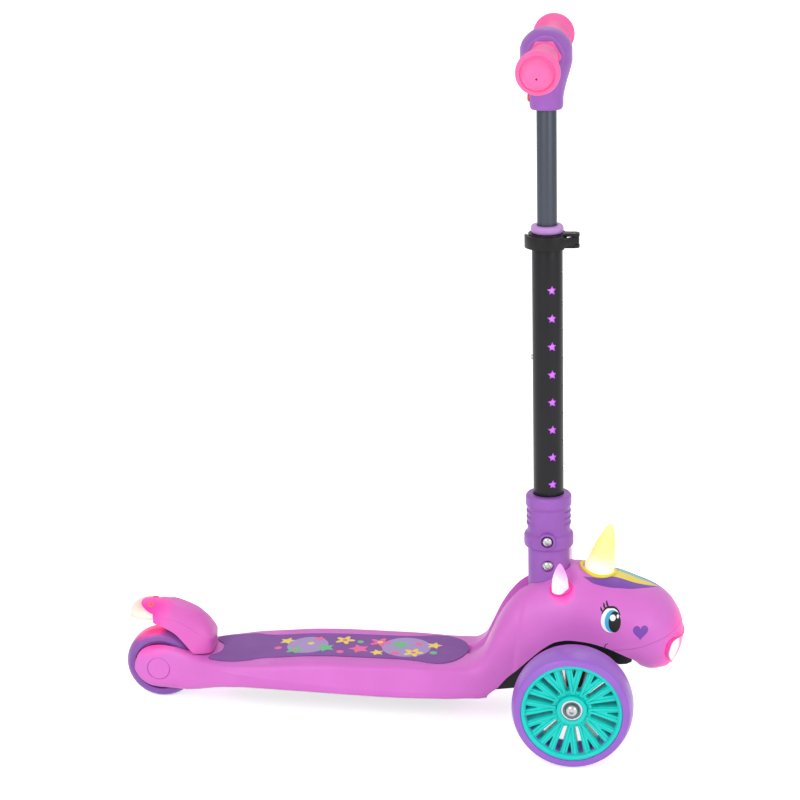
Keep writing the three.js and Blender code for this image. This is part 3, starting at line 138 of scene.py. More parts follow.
def moulded(name, colour, deep, roughness, grain_mm=0.9, bump_mm=0.03, spread=0.06, ior=1.5, coat=0.0,
            lights=(), painted_glow_colour="#FF3CA8"):
    """Injection moulded plastic: a faint cloudy tone, a fine mould texture and uneven gloss.
    Near each lamp, given by its place and reach, a glow is painted on: the colour mixes towards the lamp's
    colour and the plastic emits a faint light."""
    material, tree, shader, place = new_shader(name, colour, roughness, ior=ior, coat=coat)
    cloud = add_node(tree, "ShaderNodeTexNoise", inputs={"Scale": 1 / (45 * MM), "Detail": 3},
                     links={"Vector": place})
    tone = add_node(tree, "ShaderNodeValToRGB", links={"Fac": cloud.outputs[0]},
                    stops=[(0.3, deep), (0.62, colour)]).outputs[0]
    near = None
    # Painted glow: a share that grows towards each lamp's place, the largest of them all
    for middle, reach in lights:
        away = add_node(tree, "ShaderNodeVectorMath", {"operation": "DISTANCE"}, {1: Vector(middle) * MM},
                        {0: place})
        glow = add_node(tree, "ShaderNodeMapRange", {"interpolation_type": "SMOOTHSTEP"},
                        {"From Min": reach * MM, "From Max": 0.35 * reach * MM},
                        {"Value": away.outputs["Value"]}).outputs[0]
        if near is not None:
            glow = add_node(tree, "ShaderNodeMath", {"operation": "MAXIMUM"},
                            links={0: near, 1: glow}).outputs[0]
        near = glow
    # The painted glow mixes the colour towards the lamp's colour and adds a faint emission
    if near is not None:
        tone = add_node(tree, "ShaderNodeMix", {"data_type": "RGBA"}, {7: to_linear(painted_glow_colour)},
                        {0: near, 6: tone}).outputs[2]
        shine = add_node(tree, "ShaderNodeValToRGB", links={"Fac": near},
                         stops=[(0.0, "#000000"), (1.0, painted_glow_colour)])
        tree.links.new(shine.outputs[0], shader.inputs["Emission Color"])
        shader.inputs["Emission Strength"].default_value = 0.3
    tree.links.new(tone, shader.inputs["Base Color"])
    add_grain(tree, shader, place, grain_mm, (roughness, spread), bump_mm, 3, (0.3, 0.7))
    return material


def lit_lens(name, stops, low, high, strength, roughness=0.3):
    """Translucent polycarbonate lit from inside; its glow changes between two places."""
    material, tree, shader, place = new_shader(name, stops[-1][1], roughness, ior=1.49, coat=0.25)
    start, end = Vector(low) * MM, Vector(high) * MM
    offset = add_node(tree, "ShaderNodeVectorMath", {"operation": "SUBTRACT"}, {1: start}, {0: place})
    along = add_node(tree, "ShaderNodeVectorMath", {"operation": "DOT_PRODUCT"},
                     {1: (end - start) / (end - start).length_squared}, {0: offset.outputs[0]})
    glow = add_node(tree, "ShaderNodeValToRGB", links={"Fac": along.outputs["Value"]}, stops=stops)
    tree.links.new(glow.outputs[0], shader.inputs["Base Color"])
    tree.links.new(glow.outputs[0], shader.inputs["Emission Color"])
    shader.inputs["Emission Strength"].default_value = strength
    add_grain(tree, shader, place, 6, bump_mm=0.05)
    return material


def worked_metal(name, colour, roughness, grain_mm=0.5, stretch=(1, 1, 1), bump_mm=0.012):
    """Metal with drawn or ground lines, which follow the stretched noise."""
    material, tree, shader, place = new_shader(name, colour, roughness, metallic=1.0)
    scaled = add_node(tree, "ShaderNodeMapping", inputs={"Scale": stretch}, links={"Vector": place})
    add_grain(tree, shader, scaled.outputs[0], grain_mm, (roughness, 0.08), bump_mm)
    return material


def printed(name, colour, roughness=0.35):
    """Ink of a heat transfer print: flat, a little glossier than the plastic under it."""
    material, tree, shader, place = new_shader(name, colour, roughness)
    add_grain(tree, shader, place, 1.2, (roughness, 0.05))
    return material


# Moulded polypropylene: soft satin, faintly cloudy, with a fine spark-eroded texture
# The body has a painted glow of the lamps' light around the ears, the nose and the tail light
pink_polypropylene = moulded(
    "pink_polypropylene_moulded", "#DC74D2", "#D66ECB", 0.4,
    lights=[((171, -38, 149), 16), ((171, 38, 149), 16), ((284, 0, 88), 50), ((-266, 0, 66), 34)])
# The brake's plastic is the same, with a painted glow of the tail light's lamp on its rear
brake_polypropylene = moulded(
    "brake_polypropylene_moulded", "#E46CC8", "#DE66C2", 0.4, lights=[((-276, -6, 98), 40)])
lavender_polypropylene = moulded("lavender_polypropylene_moulded", "#A061BD", "#985AB6", 0.4)
# The bush is the same plastic in a paler batch
pale_polypropylene = moulded("pale_lavender_polypropylene_moulded", "#C896DC", "#BF8CD4", 0.4)
# Moulded nylon: the rims are a little glossier and cleaner than the body
teal_nylon = moulded("teal_nylon_moulded", "#14D8CE", "#10CFC6", 0.36, 1.4, 0.02)
# Cast polyurethane: tyres with a satin skin and a soft, waxy highlight
cast_polyurethane = moulded("lavender_polyurethane_cast", "#9F66CE", "#975FC7", 0.36, 2.5, 0.02, coat=0.1)
# The rear tyre is given a darker colour than the front tyres
dark_polyurethane = moulded(
    "dark_lavender_polyurethane_cast", "#8A57B0", "#8250A8", 0.36, 2.5, 0.02, coat=0.1)
# Thermoplastic rubber of the grips: matt, with a soft pebble that blurs every highlight
grip_rubber = moulded("pink_thermoplastic_rubber", "#FF70B4", "#F868AC", 0.5, 0.7, 0.05)
# The mat's rubber: the dullest surface, its coarse pebble breaks up the light
mat_rubber = moulded("purple_rubber_mat_pebbled", "#8D5CA8", "#85549F", 0.74, 1.0, 0.16, 0.05)
# Black ABS of the clamp, the tray and the truck: a grey sheen on its edges
black_abs = moulded("black_abs_moulded", "#18181B", "#121214", 0.42, 0.8, 0.05, ior=1.4)
# Black rubber of the brake pad and the truck's bush: no sheen at all
black_rubber = moulded("black_rubber_moulded", "#1C1C1C", "#161616", 0.8, 0.8, 0.08)
# Powder coat over steel: a fine orange peel that softens the tube's long highlight
black_powder_coat = moulded("black_powder_coat", "#18161B", "#121114", 0.34, 0.55, 0.04, 0.05, 1.42)
# Drawn steel: lines along the tube that stretch its highlight
drawn_steel = worked_metal("grey_steel_drawn", "#4A4E57", 0.4, 0.35, (1, 1, 0.02), 0.02)
# Zinc plating and ground steel: small, bright and sharp reflections
bright_zinc = worked_metal("zinc_plated_steel_bright", "#B4B4B6", 0.24, 0.8)
bearing_steel = worked_metal("bearing_steel_ground", "#C4C6CA", 0.22, 0.4)
# The bearings' pressed shields: a duller grey between the bright rings
bearing_shield = worked_metal("bearing_shield_pressed", "#6A6E74", 0.4, 0.6)
# Lit polycarbonate lenses: brightest where their lamps sit, and tinted away from them
horn_lens = lit_lens("yellow_polycarbonate_lit", [
    (0.0, "#FFFFFA"), (0.22, "#FFFDD8"), (0.4, "#FBF79C"), (0.7, "#F6F28A"), (1.0, "#FAF79A")],
    (204, 0, 160), (214, 0, 212), 0.3)
ear_lens = lit_lens("pink_polycarbonate_lit", [
    (0.0, "#FFFFFF"), (0.42, "#FFF4FD"), (0.62, "#FBD2F0"), (0.82, "#F6A6DE"), (1.0, "#F498D8")],
    (162, 0, 150), (178, 0, 178), 0.3)
nose_lens = lit_lens("nose_polycarbonate_lit", [
    (0.0, "#FF7CC8"), (0.05, "#FFF0FA"), (0.15, "#FFF6FD"), (0.21, "#F05CB4"), (0.79, "#F05CB4"),
    (0.85, "#FFF6FD"), (0.95, "#FFF0FA"), (1.0, "#FF7CC8")], (290, -38, 90), (290, 38, 90), 0.3)
hot_pink_lens = lit_lens("hot_pink_polycarbonate_lit", [
    (0.0, "#DC2890"), (1.0, "#E0309A")], (0, 0, 0), (0, 0, 200), 0.2)
tail_lens = lit_lens(
    "red_polycarbonate_lit", [(0.0, "#D04A1C"), (0.14, "#E88452"), (0.28, "#FFD4B6"), (0.48, "#FFE8DC"),
        (0.8, "#FFE4DA"), (1.0, "#FFC4C0")], (-289, 0, 87.6), (-283, 0, 106), 0.16)
# Screw caps in coral ABS: small warm dots on the tongue
screw_cap = moulded("coral_abs_screw_cap", "#F4707E", "#EC6674", 0.36)
tail_lamp = lit_lens("red_lamp_strip", [(0.0, "#FF0010"), (1.0, "#FF0014")], (0, 0, 0), (0, 0, 200), 36.0)
star_lens = lit_lens("violet_polycarbonate_lit", [
    (0.0, "#C05CEC"), (1.0, "#CC6CF4")], (0, 0, 240), (0, 0, 500), 0.6)
# ABS of the light button and the horn's ring: smooth and a little glossy
button_red = moulded("red_abs_button", "#F0563E", "#E44C36", 0.36)
yellow_abs = moulded("yellow_abs_moulded", "#EEDC3C", "#E8D438", 0.36)
# Heat transfer prints: flat, clean colours with a thin even gloss
white_ink = printed("white_print", "#F6F6F8")
black_ink = printed("black_print", "#0C0C10", 0.5)
blue_ink = printed("blue_print", "#3CAEDC")
purple_ink = printed("purple_print", "#7C44AE")
sun_ink = printed("yellow_print", "#F2D84A")
teal_ink = printed("teal_print", "#62C4C8")
green_ink = printed("green_print", "#5CC07C")
rose_ink = printed("rose_print", "#EE5C9C")
lilac_ink = printed("lilac_print", "#A98CC8")


# Mesh making, all in millimetres

def make_object(name, points, faces):
    """A mesh with doubled points merged and its faces turned outwards."""
    mesh = bpy.data.meshes.new(name)
    mesh.from_pydata([Vector(p) * MM for p in points], [], faces)
    item = bpy.data.objects.new(name, mesh)
    scene.collection.objects.link(item)
    work = bmesh.new()
    work.from_mesh(mesh)
    bmesh.ops.remove_doubles(work, verts=work.verts, dist=MERGE_WITHIN * MM)
    bmesh.ops.recalc_face_normals(work, faces=work.faces)
    work.to_mesh(mesh)
    work.free()
    return item


def add_object(name, work):
    """Puts a finished bmesh into the scene."""
    mesh = bpy.data.meshes.new(name)
    work.to_mesh(mesh)
    work.free()
    item = bpy.data.objects.new(name, mesh)
    scene.collection.objects.link(item)
    return item


def finish_piece(item, body, material, nodes=None, sharp=32):
    """Smooth shading with crisp edges, the finish, the body that carries the piece and the nodes
    that it stands for: the one of its own name, unless others or none are given."""
    # Blender adds a number to a name that one of the frame's nodes already has
    nodes = [item.name.split(".")[0]] if nodes is None else nodes
    item.data.materials.clear()
    item.data.materials.append(material)
    item.data.polygons.foreach_set("use_smooth", [True] * len(item.data.polygons))
    item.data.set_sharp_from_angle(angle=radians(sharp))
    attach(item, body)
    if nodes:
        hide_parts(*nodes)
    return item


def moved(x, y, z):
    return Matrix.Translation((x, y, z))


def turned(degrees, axis):
    return Matrix.Rotation(radians(degrees), 4, axis)


def placed(item, matrix):
    """Moves the mesh itself by a matrix whose moves are in millimetres."""
    scaled = matrix.copy()
    scaled.translation = matrix.translation * MM
    item.data.transform(scaled)
    if scaled.determinant() < 0:
        item.data.flip_normals()
    return item


def rounded(points, radius, steps=3, closed=False):
    """Rounds the corners of a line of points; radius is one value or one for each point."""
    count = len(points)
    radii = radius if isinstance(radius, (list, tuple)) else [radius] * count
    out = []
    for i, point in enumerate(points):
        here, before, after = Vector(point), Vector(points[i - 1]), Vector(points[(i + 1) % count])
        cut = min(radii[i], 0.48 * (here - before).length, 0.48 * (after - here).length)
        if cut <= 0 or not closed and i in (0, count - 1):
            out.append(tuple(here))
            continue
        start = here + (before - here).normalized() * cut
        end = here + (after - here).normalized() * cut
        for k in range(steps + 1):
            t = k / steps
            out.append(tuple(start * (1 - t) ** 2 + here * (2 * t * (1 - t)) + end * t ** 2))
    return out


def lathe(name, profile, sides=96, ring=False):
    """A body of revolution about Z, from points of radius and height; a ring's profile is closed."""
    points, faces = [], []
    for radius, z in profile:
        points += [(x, y, z) for x, y in circle(radius, sides)]
    rows = len(profile)
    for r in range(rows if ring else rows - 1):
        for i in range(sides):
            j = (i + 1) % sides
            a, b = r * sides, ((r + 1) % rows) * sides
            faces.append((a + i, a + j, b + j, b + i))
    return make_object(name, points, faces)


def spun(name, profile, radii, steps=3, sides=96, ring=False):
    """A body of revolution whose corners are rounded."""
    return lathe(name, rounded(profile, radii, steps, ring), sides, ring)


def rod(name, radius, low, high, sides=48):
    return lathe(name, [(0, low), (radius, low), (radius, high), (0, high)], sides)


def both_ends(points, radii):
    """A profile, its radii and their mirror image, for a part whose two ends are alike."""
    return points + [(reach, -z) for reach, z in reversed(points)], radii + radii[::-1]


def loft(name, rings):
    """A skin over rings of points, closed by a cap at each end."""
    count = len(rings[0])
    points = [p for ring in rings for p in ring]
    faces = []
    for r in range(len(rings) - 1):
        for i in range(count):
            j = (i + 1) % count
            faces.append((r * count + i, r * count + j, (r + 1) * count + j, (r + 1) * count + i))
    faces.append(tuple(range(count)))
    faces.append(tuple(range(len(points) - count, len(points))))
    return make_object(name, points, faces)


def plate(name, outlines, low, high, bevel=0.0):
    """A plate in X and Y with holes, given its thickness along Z and rounded rims."""
    work = bmesh.new()
    for outline in outlines:
        corners = [work.verts.new((x * MM, y * MM, low * MM)) for x, y in outline]
        for i, corner in enumerate(corners):
            work.edges.new((corner, corners[(i + 1) % len(corners)]))
    bmesh.ops.triangle_fill(work, edges=work.edges[:], use_beauty=True)
    base = work.faces[:]
    raised = bmesh.ops.extrude_face_region(work, geom=base, use_keep_orig=True)
    upper = [part for part in raised["geom"] if isinstance(part, bmesh.types.BMVert)]
    bmesh.ops.translate(work, verts=upper, vec=(0, 0, (high - low) * MM))
    bmesh.ops.recalc_face_normals(work, faces=work.faces)
    if bevel:
        rims = [edge for edge in work.edges if len(edge.link_faces) == 2
                and abs(edge.link_faces[0].normal.z) + abs(edge.link_faces[1].normal.z) > 0.9
                and abs(abs(edge.link_faces[0].normal.z) - abs(edge.link_faces[1].normal.z)) > 0.9]
        bmesh.ops.bevel(work, geom=rims, offset=bevel * MM, segments=2, profile=0.5,
                        affect="EDGES", clamp_overlap=True)
    return add_object(name, work)


def slab(name, outline, half_width, bevel=0.0):
    """A side outline in X and Z, given its width across Y."""
    item = plate(name, [outline], -half_width, half_width, bevel)
    return placed(item, across())


def block(name, low, high, bevel=0.0):
    """A block between two corners, with rounded upright edges."""
    outline = [(low[0], low[1]), (high[0], low[1]), (high[0], high[1]), (low[0], high[1])]
    if bevel:
        outline = rounded(outline, bevel, closed=True)
    return plate(name, [outline], low[2], high[2])


def twin(item, name):
    """A copy with its own mesh, which isn't in the scene yet."""
    other = item.copy()
    other.data = item.data.copy()
    other.name = name
    return other


def combine(item, others, kind="DIFFERENCE"):
    """Cuts or joins other pieces, which are then removed."""
    for other in others:
        change = item.modifiers.new("change", "BOOLEAN")
        change.operation = kind
        change.solver = "EXACT"
        change.object = other
        bpy.context.view_layer.update()
        result = item.evaluated_get(bpy.context.evaluated_depsgraph_get())
        mesh = bpy.data.meshes.new_from_object(result)
        item.modifiers.clear()
        item.data = mesh
        bpy.data.objects.remove(other)
    return item


def joined(name, items):
    """Puts several meshes into one piece."""
    work = bmesh.new()
    for item in items:
        work.from_mesh(item.data)
    whole = add_object(name, work)
    for item in items:
        bpy.data.objects.remove(item)
    return whole


def polar(radius, angle, centre=(0, 0)):
    """A flat place at a distance and an angle from the centre."""
    return centre[0] + radius * cos(angle), centre[1] + radius * sin(angle)


def angles_round(sides):
    return [tau * i / sides for i in range(sides)]


def circle(radius, sides=96):
    return [polar(radius, angle) for angle in angles_round(sides)]


def bulged(value, power):
    """A power that keeps the sign, which makes a round curve squarer."""
    return copysign(abs(value) ** power, value)


def oval(centre, half_x, half_y, sides=56, power=2.0):
    """An oval that grows squarer as its power rises above two."""
    return [(centre[0] + half_x * bulged(cos(a), 2 / power), centre[1] + half_y * bulged(sin(a), 2 / power))
            for a in angles_round(sides)]


def star(radius, inner, turn=0.0):
    return [polar(inner if i % 2 else radius, turn + pi * i / 5) for i in range(10)]


def stations(low, high, step):
    """Even places from one end to the other, about a step apart."""
    count = max(2, round(abs(high - low) / step))
    return [low + (high - low) * i / count for i in range(count + 1)]


def columns(rows):
    """One curve for each column of a table, along the numbers of its rows."""
    return [[(i, row[k]) for i, row in enumerate(rows)] for k in range(len(rows[0]))]


def curves(rows):
    """One curve for each further column of a table, along its first column."""
    return [[(row[0], row[k]) for row in rows] for k in range(1, len(rows[0]))]


def blend_all(lines, x):
    return [blend_value(line, x) for line in lines]


def blend_value(points, x):
    """Smooth curve through points of place and value, without overshoot."""
    if x <= points[0][0]:
        return points[0][1]
    for i in range(len(points) - 1):
        (x0, y0), (x1, y1) = points[i], points[i + 1]
        if x <= x1:
            slope = (y1 - y0) / (x1 - x0)
            ends = []
            for a, b in ((i - 1, i), (i + 1, i + 2)):
                if a < 0 or b >= len(points):
                    ends.append(slope)
                    continue
                other = (points[b][1] - points[a][1]) / (points[b][0] - points[a][0])
                same = other * slope > 0
                ends.append(2 * other * slope / (other + slope) if same else 0.0)
            t = (x - x0) / (x1 - x0)
            span = x1 - x0
            return (y0 * (1 + 2 * t) * (1 - t) ** 2 + ends[0] * span * t * (1 - t) ** 2
                    + y1 * t * t * (3 - 2 * t) - ends[1] * span * t * t * (1 - t))
    return points[-1][1]


def across(side=1):
    """Turns local Z to one side of the scooter: 1 is the right side, towards -Y."""
    return turned(90 * side, "X")


def on_stem(height=0.0):
    """Place on the raked stem axis, at a height along it."""
    lean = moved(STEM_FOOT_X, 0, 0) @ turned(-STEM_RAKE, "Y")
    return lean @ moved(0, 0, height)


# Pink body: one smooth skin carries the fork, the deck, the neck and the head.
# Each row: place, top, bottom, widest height, half width, squareness of the top and the bottom.
BODY_ROWS = [
    (-283, 46.2, 29.9, 38, 24, 2.6, 2.6), (-279.5, 54.4, 22.6, 38, 24.5, 3, 3),
    (-273.2, 60, 16.1, 38, 24.8, 3.4, 3.4), (-265.1, 63.1, 12.8, 38, 25.1, 3.6, 3.6),
    (-255.8, 64, 12, 38, 25.2, 3.8, 3.8), (-242, 62.4, 11.8, 38.5, 25.7, 4, 4),
    (-229.8, 58.8, 11.6, 39.7, 27.9, 4.2, 4), (-217.1, 55.6, 14, 42.1, 33.1, 4.8, 4),
    (-205, 54, 17.2, 46.2, 39.3, 6.5, 4), (-188.8, 54.5, 22.2, 47.9, 46.8, 9, 4.5),
    (-175, 55.4, 25.2, 47.6, 51, 11, 5), (-161.6, 56.9, 27, 47, 53.6, 12, 5),
    (-126.9, 59.8, 28.2, 44.8, 57, 12, 5), (-95, 62.8, 28, 42.6, 57.6, 12, 5),
    (-59.9, 64, 27.5, 40.4, 57.8, 12, 5), (6, 64.2, 26.3, 37.6, 56, 12, 5),
    (49.3, 64, 26.3, 37.6, 52.6, 10, 5), (74.2, 66.4, 27, 39.3, 50.4, 6, 4.5),
    (86.9, 75.5, 26.5, 41.9, 49.9, 4.2, 4), (95, 92.5, 26.5, 46.2, 49.6, 3.8, 3.6),
    (102.5, 110, 28.5, 51.3, 49.5, 3.5, 3.3), (111.8, 126.6, 29.1, 59, 49.4, 3.2, 3),
    (123.9, 141.2, 30.8, 70.1, 49.4, 3, 3), (136.6, 150.5, 34.2, 82.1, 49.9, 2.7, 3),
    (150.5, 157.5, 37.6, 95.8, 50.7, 2.5, 3), (166.7, 164.5, 41, 107.7, 51.6, 2.4, 3),
    (184, 166.5, 44.5, 112.9, 53, 2.4, 2.8), (202.5, 162.9, 47.9, 114.2, 53.9, 2.15, 2.6),
    (224.5, 159.4, 51.3, 112.9, 53.9, 2.15, 2.5), (244.1, 152.5, 66, 109.4, 52.2, 2.2, 2.4),
    (263.2, 145.5, 60, 105.2, 47.6, 2.2, 2.3), (277.7, 135.8, 62, 100.9, 39.9, 2.2, 2.2),
    (287.5, 123.5, 72.7, 98.3, 29.6, 2.1, 2.1), (293.3, 110, 86, 96.6, 16, 2, 2),
    (294.7, 100, 93.4, 96.1, 5.7, 2, 2)]
BODY_PARTS = curves(BODY_ROWS)
# How far the deck's side leans in above its crease
SIDE_LEAN = [(-215, 0), (-180, 4.5), (-60, 5.5), (30, 4.5), (70, 1.5), (86, 0)]
VALLEY_FLOOR = [(66, 200), (72.4, 63), (84, 68), (92.7, 75.2), (115.8, 106), (147.6, 124.8), (185, 140)]
VALLEY_HALF = 13.5
CREASE_LINE = [(60, 120.5), (76, 121.6), (103, 124.8), (132, 127.2), (143, 131.5), (150, 139.5), (157, 153)]
CREASE_DEPTH = 1.1


def body_at(x, inset=0.0):
    """The body's measures at a place, drawn in by an inset."""
    top, bottom, widest, half, square_top, square_bottom = blend_all(BODY_PARTS, x)
    return top - inset, bottom + inset, widest, half - inset, square_top, square_bottom


def quarter(half, depth, square, lean, steps):
    """From the widest point round the corner to the middle: widths and heights above the widest."""
    inner = min(20, 0.6 * half)
    rim = (1 - (inner / half) ** square) ** (1 / square)
    out = []
    for i in range(steps):
        up = rim * (1 - (1 - i / steps) ** 1.6)
        out.append(((half - lean * up) * (1 - up ** square) ** (1 / square), depth * up))
    edge = inner * (1 - lean * rim / half)
    for share in (1, 0.94, 0.89, 0.85, 0.81, 0.78, 0.75, 0.72, 0.69, 0.66, 0.63, 0.59, 0.54, 0.47,
                  0.38, 0.28, 0.18, 0.09, 0):
        out.append((edge * share, depth * (1 - (inner * share / half) ** square) ** (1 / square)))
    return out


def body_ring(x, inset=0.0, valley=True):
    """A cross section of the body; the valley between the two rails is let into its top."""
    top, bottom, widest, half, square_top, square_bottom = body_at(x, inset)
    lean = blend_value(SIDE_LEAN, x)
    upper = [(y, widest + up) for y, up in quarter(half, top - widest, square_top, lean, 30)]
    if valley and 66 < x < 165:
        floor = blend_value(VALLEY_FLOOR, x)
        sunk = []
        for y, z in upper:
            wall = max(0.0, y - VALLEY_HALF + 4)
            rise = floor + (wall / 4) ** 3 * 9 + max(0.0, y - VALLEY_HALF) * 14
            sunk.append((y, z if rise > z else rise))
        upper = sunk
    under = [(y, widest - down) for y, down in quarter(half, widest - bottom, square_bottom, lean * 0.6,
            24)][1:]
    lower = [(-y, z) for y, z in under] + [(y, z) for y, z in reversed(under[:-1])]
    if 100 < x < 170 and not inset:
        upper = [creased(x, y, z, half) for y, z in upper]
        lower = [creased(x, y, z, half) for y, z in lower]
    ring = [(x, y, z) for y, z in upper]
    ring += [(x, -y, z) for y, z in reversed(upper[:-1])]
    ring += [(x, y, z) for y, z in lower]
    return ring


def creased(x, y, z, half):
    """Sinks the neck's rail a little where the head's side begins."""
    ahead = x - blend_value(CREASE_LINE, z)
    side = min(1.0, abs(y) / half)
    if side < 0.3:
        return y, z
    depth = CREASE_DEPTH * (exp(ahead / 16) if ahead < 0 else exp(-(ahead / 3.2) ** 2))
    up = max(0.0, 1 - side) if z > 120 else 0.0
    return y - copysign(depth * side, y), z - depth * up


def body_skin(name, low, high, inset=0.0, valley=True, step=3.0):
    """The body's skin between two places, with finer rings where it curves most."""
    places = stations(low, high, step)
    if low < 100 and high > 160 and not inset:
        places = [x for x in places if not 112 < x < 150] + stations(112, 150, 1)
        places.sort()
    if high > 290:
        places = [x for x in places if x < 286] + [287, 288.5, 290, 291.2, 292.4, 293.3, 294, 294.5, 294.7]
    if low < -280:
        places = [-283, -282.6, -282, -281.2, -280.2, -279] + [x for x in places if x > -278]
    return loft(name, [body_ring(x, inset, valley) for x in places])


ARCH_LINE = [(x, blend_value([
    (92.7, 17), (95, 34.2), (105.4, 44.1), (114, 54.7), (125, 65), (139, 79), (152.8, 91.8), (166, 99.9),
    (180, 102.6), (193.8, 101.9), (217, 96.3), (243.6, 81.4), (251, 71.8), (254.5, 17)], x))
    for x in [92.7, 93.4, 94.2, 95] + stations(97, 250, 3) + [251, 252.4, 253.4, 254, 254.5]]
MAT_OUTLINE = [(-190.6, 0), (-192, 11.4), (-199.7, 19.8), (-203, 25.8), (-199.7, 31.2), (-189.2, 35.3),
               (-169.9, 38), (-157.5, 36.9), (-150.6, 33.1), (-140.9, 31), (-65, 30.4), (1.2, 30.8),
               (17.8, 32.7), (31.6, 37.2), (41.3, 38), (49.5, 36.1), (59.2, 29.6), (67.5, 18.2), (73, 0)]


def mat_outline(extra=0.0):
    """The mat's outline, widened by the gap where it cuts the mat's seat."""
    half = [(x + (extra if x > -65 else -extra) * (y < 38), y + (extra if y > 0 else 0)) for x,
            y in MAT_OUTLINE]
    whole = half + [(x, -y) for x, y in reversed(half[1:-1])]
    return rounded(whole, 9, 5, closed=True)


def deck_strip(name, below, above):
    """A block that follows the deck's top, from one depth below it to a height above it."""
    places = stations(-208, 80, 3)
    tops = [(x, blend_value(BODY_PARTS[0], min(x, 66))) for x in places]
    return slab(name, [(x, z + above) for x, z in tops] + [(x, z - below) for x, z in reversed(tops)], 60)


def horn_shape(name, extra=0.0):
    """The horn, swept forward as it rises, with two soft steps."""
    profile = [(-9, 206, 15.5), (0, 206, 15.5), (8, 206.6, 15.6), (12.5, 207.4, 15.4), (14.2, 207.7, 14.9),
               (15.6, 208, 14.3), (25, 210.3, 12.3), (33.5, 212.2, 10.3), (35, 212.5, 9.7),
               (36.6, 212.9, 9.2), (42, 214.3, 7.4), (47, 215.3, 5.3), (50.5, 216, 3.4),
               (52.4, 216.4, 2.1), (53.6, 216.6, 1), (54, 216.7, 0.2)]
    rings = []
    for t in stations(0, len(profile) - 1, 0.25):
        up, along, wide = blend_all(columns(profile), t)
        height = HORN_FOOT + up + (extra if up > 50 else 0)
        rings.append([(along + x, y, height) for x, y in circle(wide + extra, 64)])
    return loft(name, rings)


EAR_PLACE = moved(168, -34.5, 145.5) @ turned(22, "X")
# The angle round the ear at which its hollow side lies
EAR_HOLLOW = 5.6


def ear_shape(name):
    """A leaf shaped ear that leans outwards."""
    width = [(-9, 0.8), (0, 0.93), (9, 1.0), (20, 0.93), (31, 0.66), (38, 0.38), (41.5, 0.19), (43, 0.03)]
    rings = []
    for up in stations(-9, 39, 1.5) + [40, 41, 43 - 1.2, 43 - 0.6, 43]:
        wide = blend_value(width, up)
        rings.append([])
        for angle in angles_round(48):
            hollow = 3.0 * wide * exp(-((angle - EAR_HOLLOW) / 0.55) ** 2) * (4 < up < 36)
            rings[-1].append((cos(angle) * (wide * 8.6) - hollow * cos(EAR_HOLLOW) * 0.4,
                              sin(angle) * (wide * 5.6) - hollow * sin(EAR_HOLLOW) * 0.8, up))
    return placed(loft(name, rings), EAR_PLACE)


def socket_room(name):
    """Room in the head for the stem's socket, wider where its foot flares."""
    return placed(
        lathe(name, [(0, 107.5), (25.6, 107.5), (25.6, 131.6), (22.2, 136), (22.2, 190), (0, 190)], 96),
        on_stem())


MOUTH_LINE = [(x, blend_value([(215.2, 93.2), (243, 95.8), (269, 103.5), (300, 116)], x))
              for x in stations(215.2, 300, 4)]


def fork_disc(name, radius, inner, outer, side):
    """A disc across the fork's arm, on the rear axle."""
    return placed(rod(name, radius, inner, outer, 64), moved(*REAR_AXLE) @ across(side))


# Foot brake from its rear to its front: the wall's lower edge, the ridge above it and the crest,
# each by place and height, then the half width.
BRAKE_ROWS = [
    (-262, 89, -262, 97, -262, 106.6, 23.6), (-256, 86.8, -255.5, 95.6, -255, 107.6, 24.8),
    (-247.5, 83.4, -246, 93.8, -245.5, 107.2, 25), (-239, 78.7, -236.5, 91.2, -235.5, 104.6, 25),
    (-232, 71.7, -228, 87.4, -225.5, 100.6, 25), (-226, 64.6, -219.5, 82.2, -216, 95.8, 24.8),
    (-221.5, 59, -211.5, 76.8, -208, 89.2, 24.2), (-217.5, 55.8, -205.5, 74, -203.6, 83, 23),
    (-208, 55.8, -202, 72.6, -201, 78.5, 20.8), (-201.2, 55.8, -200, 71.2, -199.7, 73.6, 16),
    (-200.4, 55.8, -199.4, 70.6, -199.3, 71.2, 9),
]
BRAKE_PARTS = columns(BRAKE_ROWS)


def foot_room():
    """The shallow recess in the deck that the fender's foot presses into."""
    near = [(blend_value(BRAKE_PARTS[0], t) + 0.7 * (t > 7), blend_value(BRAKE_PARTS[6], t) + 0.7)
            for t in stations(3.6, 10, 0.2)]
    room = plate("foot_room", [near + [(x, -y) for x, y in reversed(near)]], 53.6, 80)
    combine(room,
            [slab("foot_side", [(-226, 62.4), (-221.5, 56.8), (-217.5, 53.6), (-198, 53.6), (-198, 80),
            (-226, 80)], 30)], "INTERSECT")
    return room


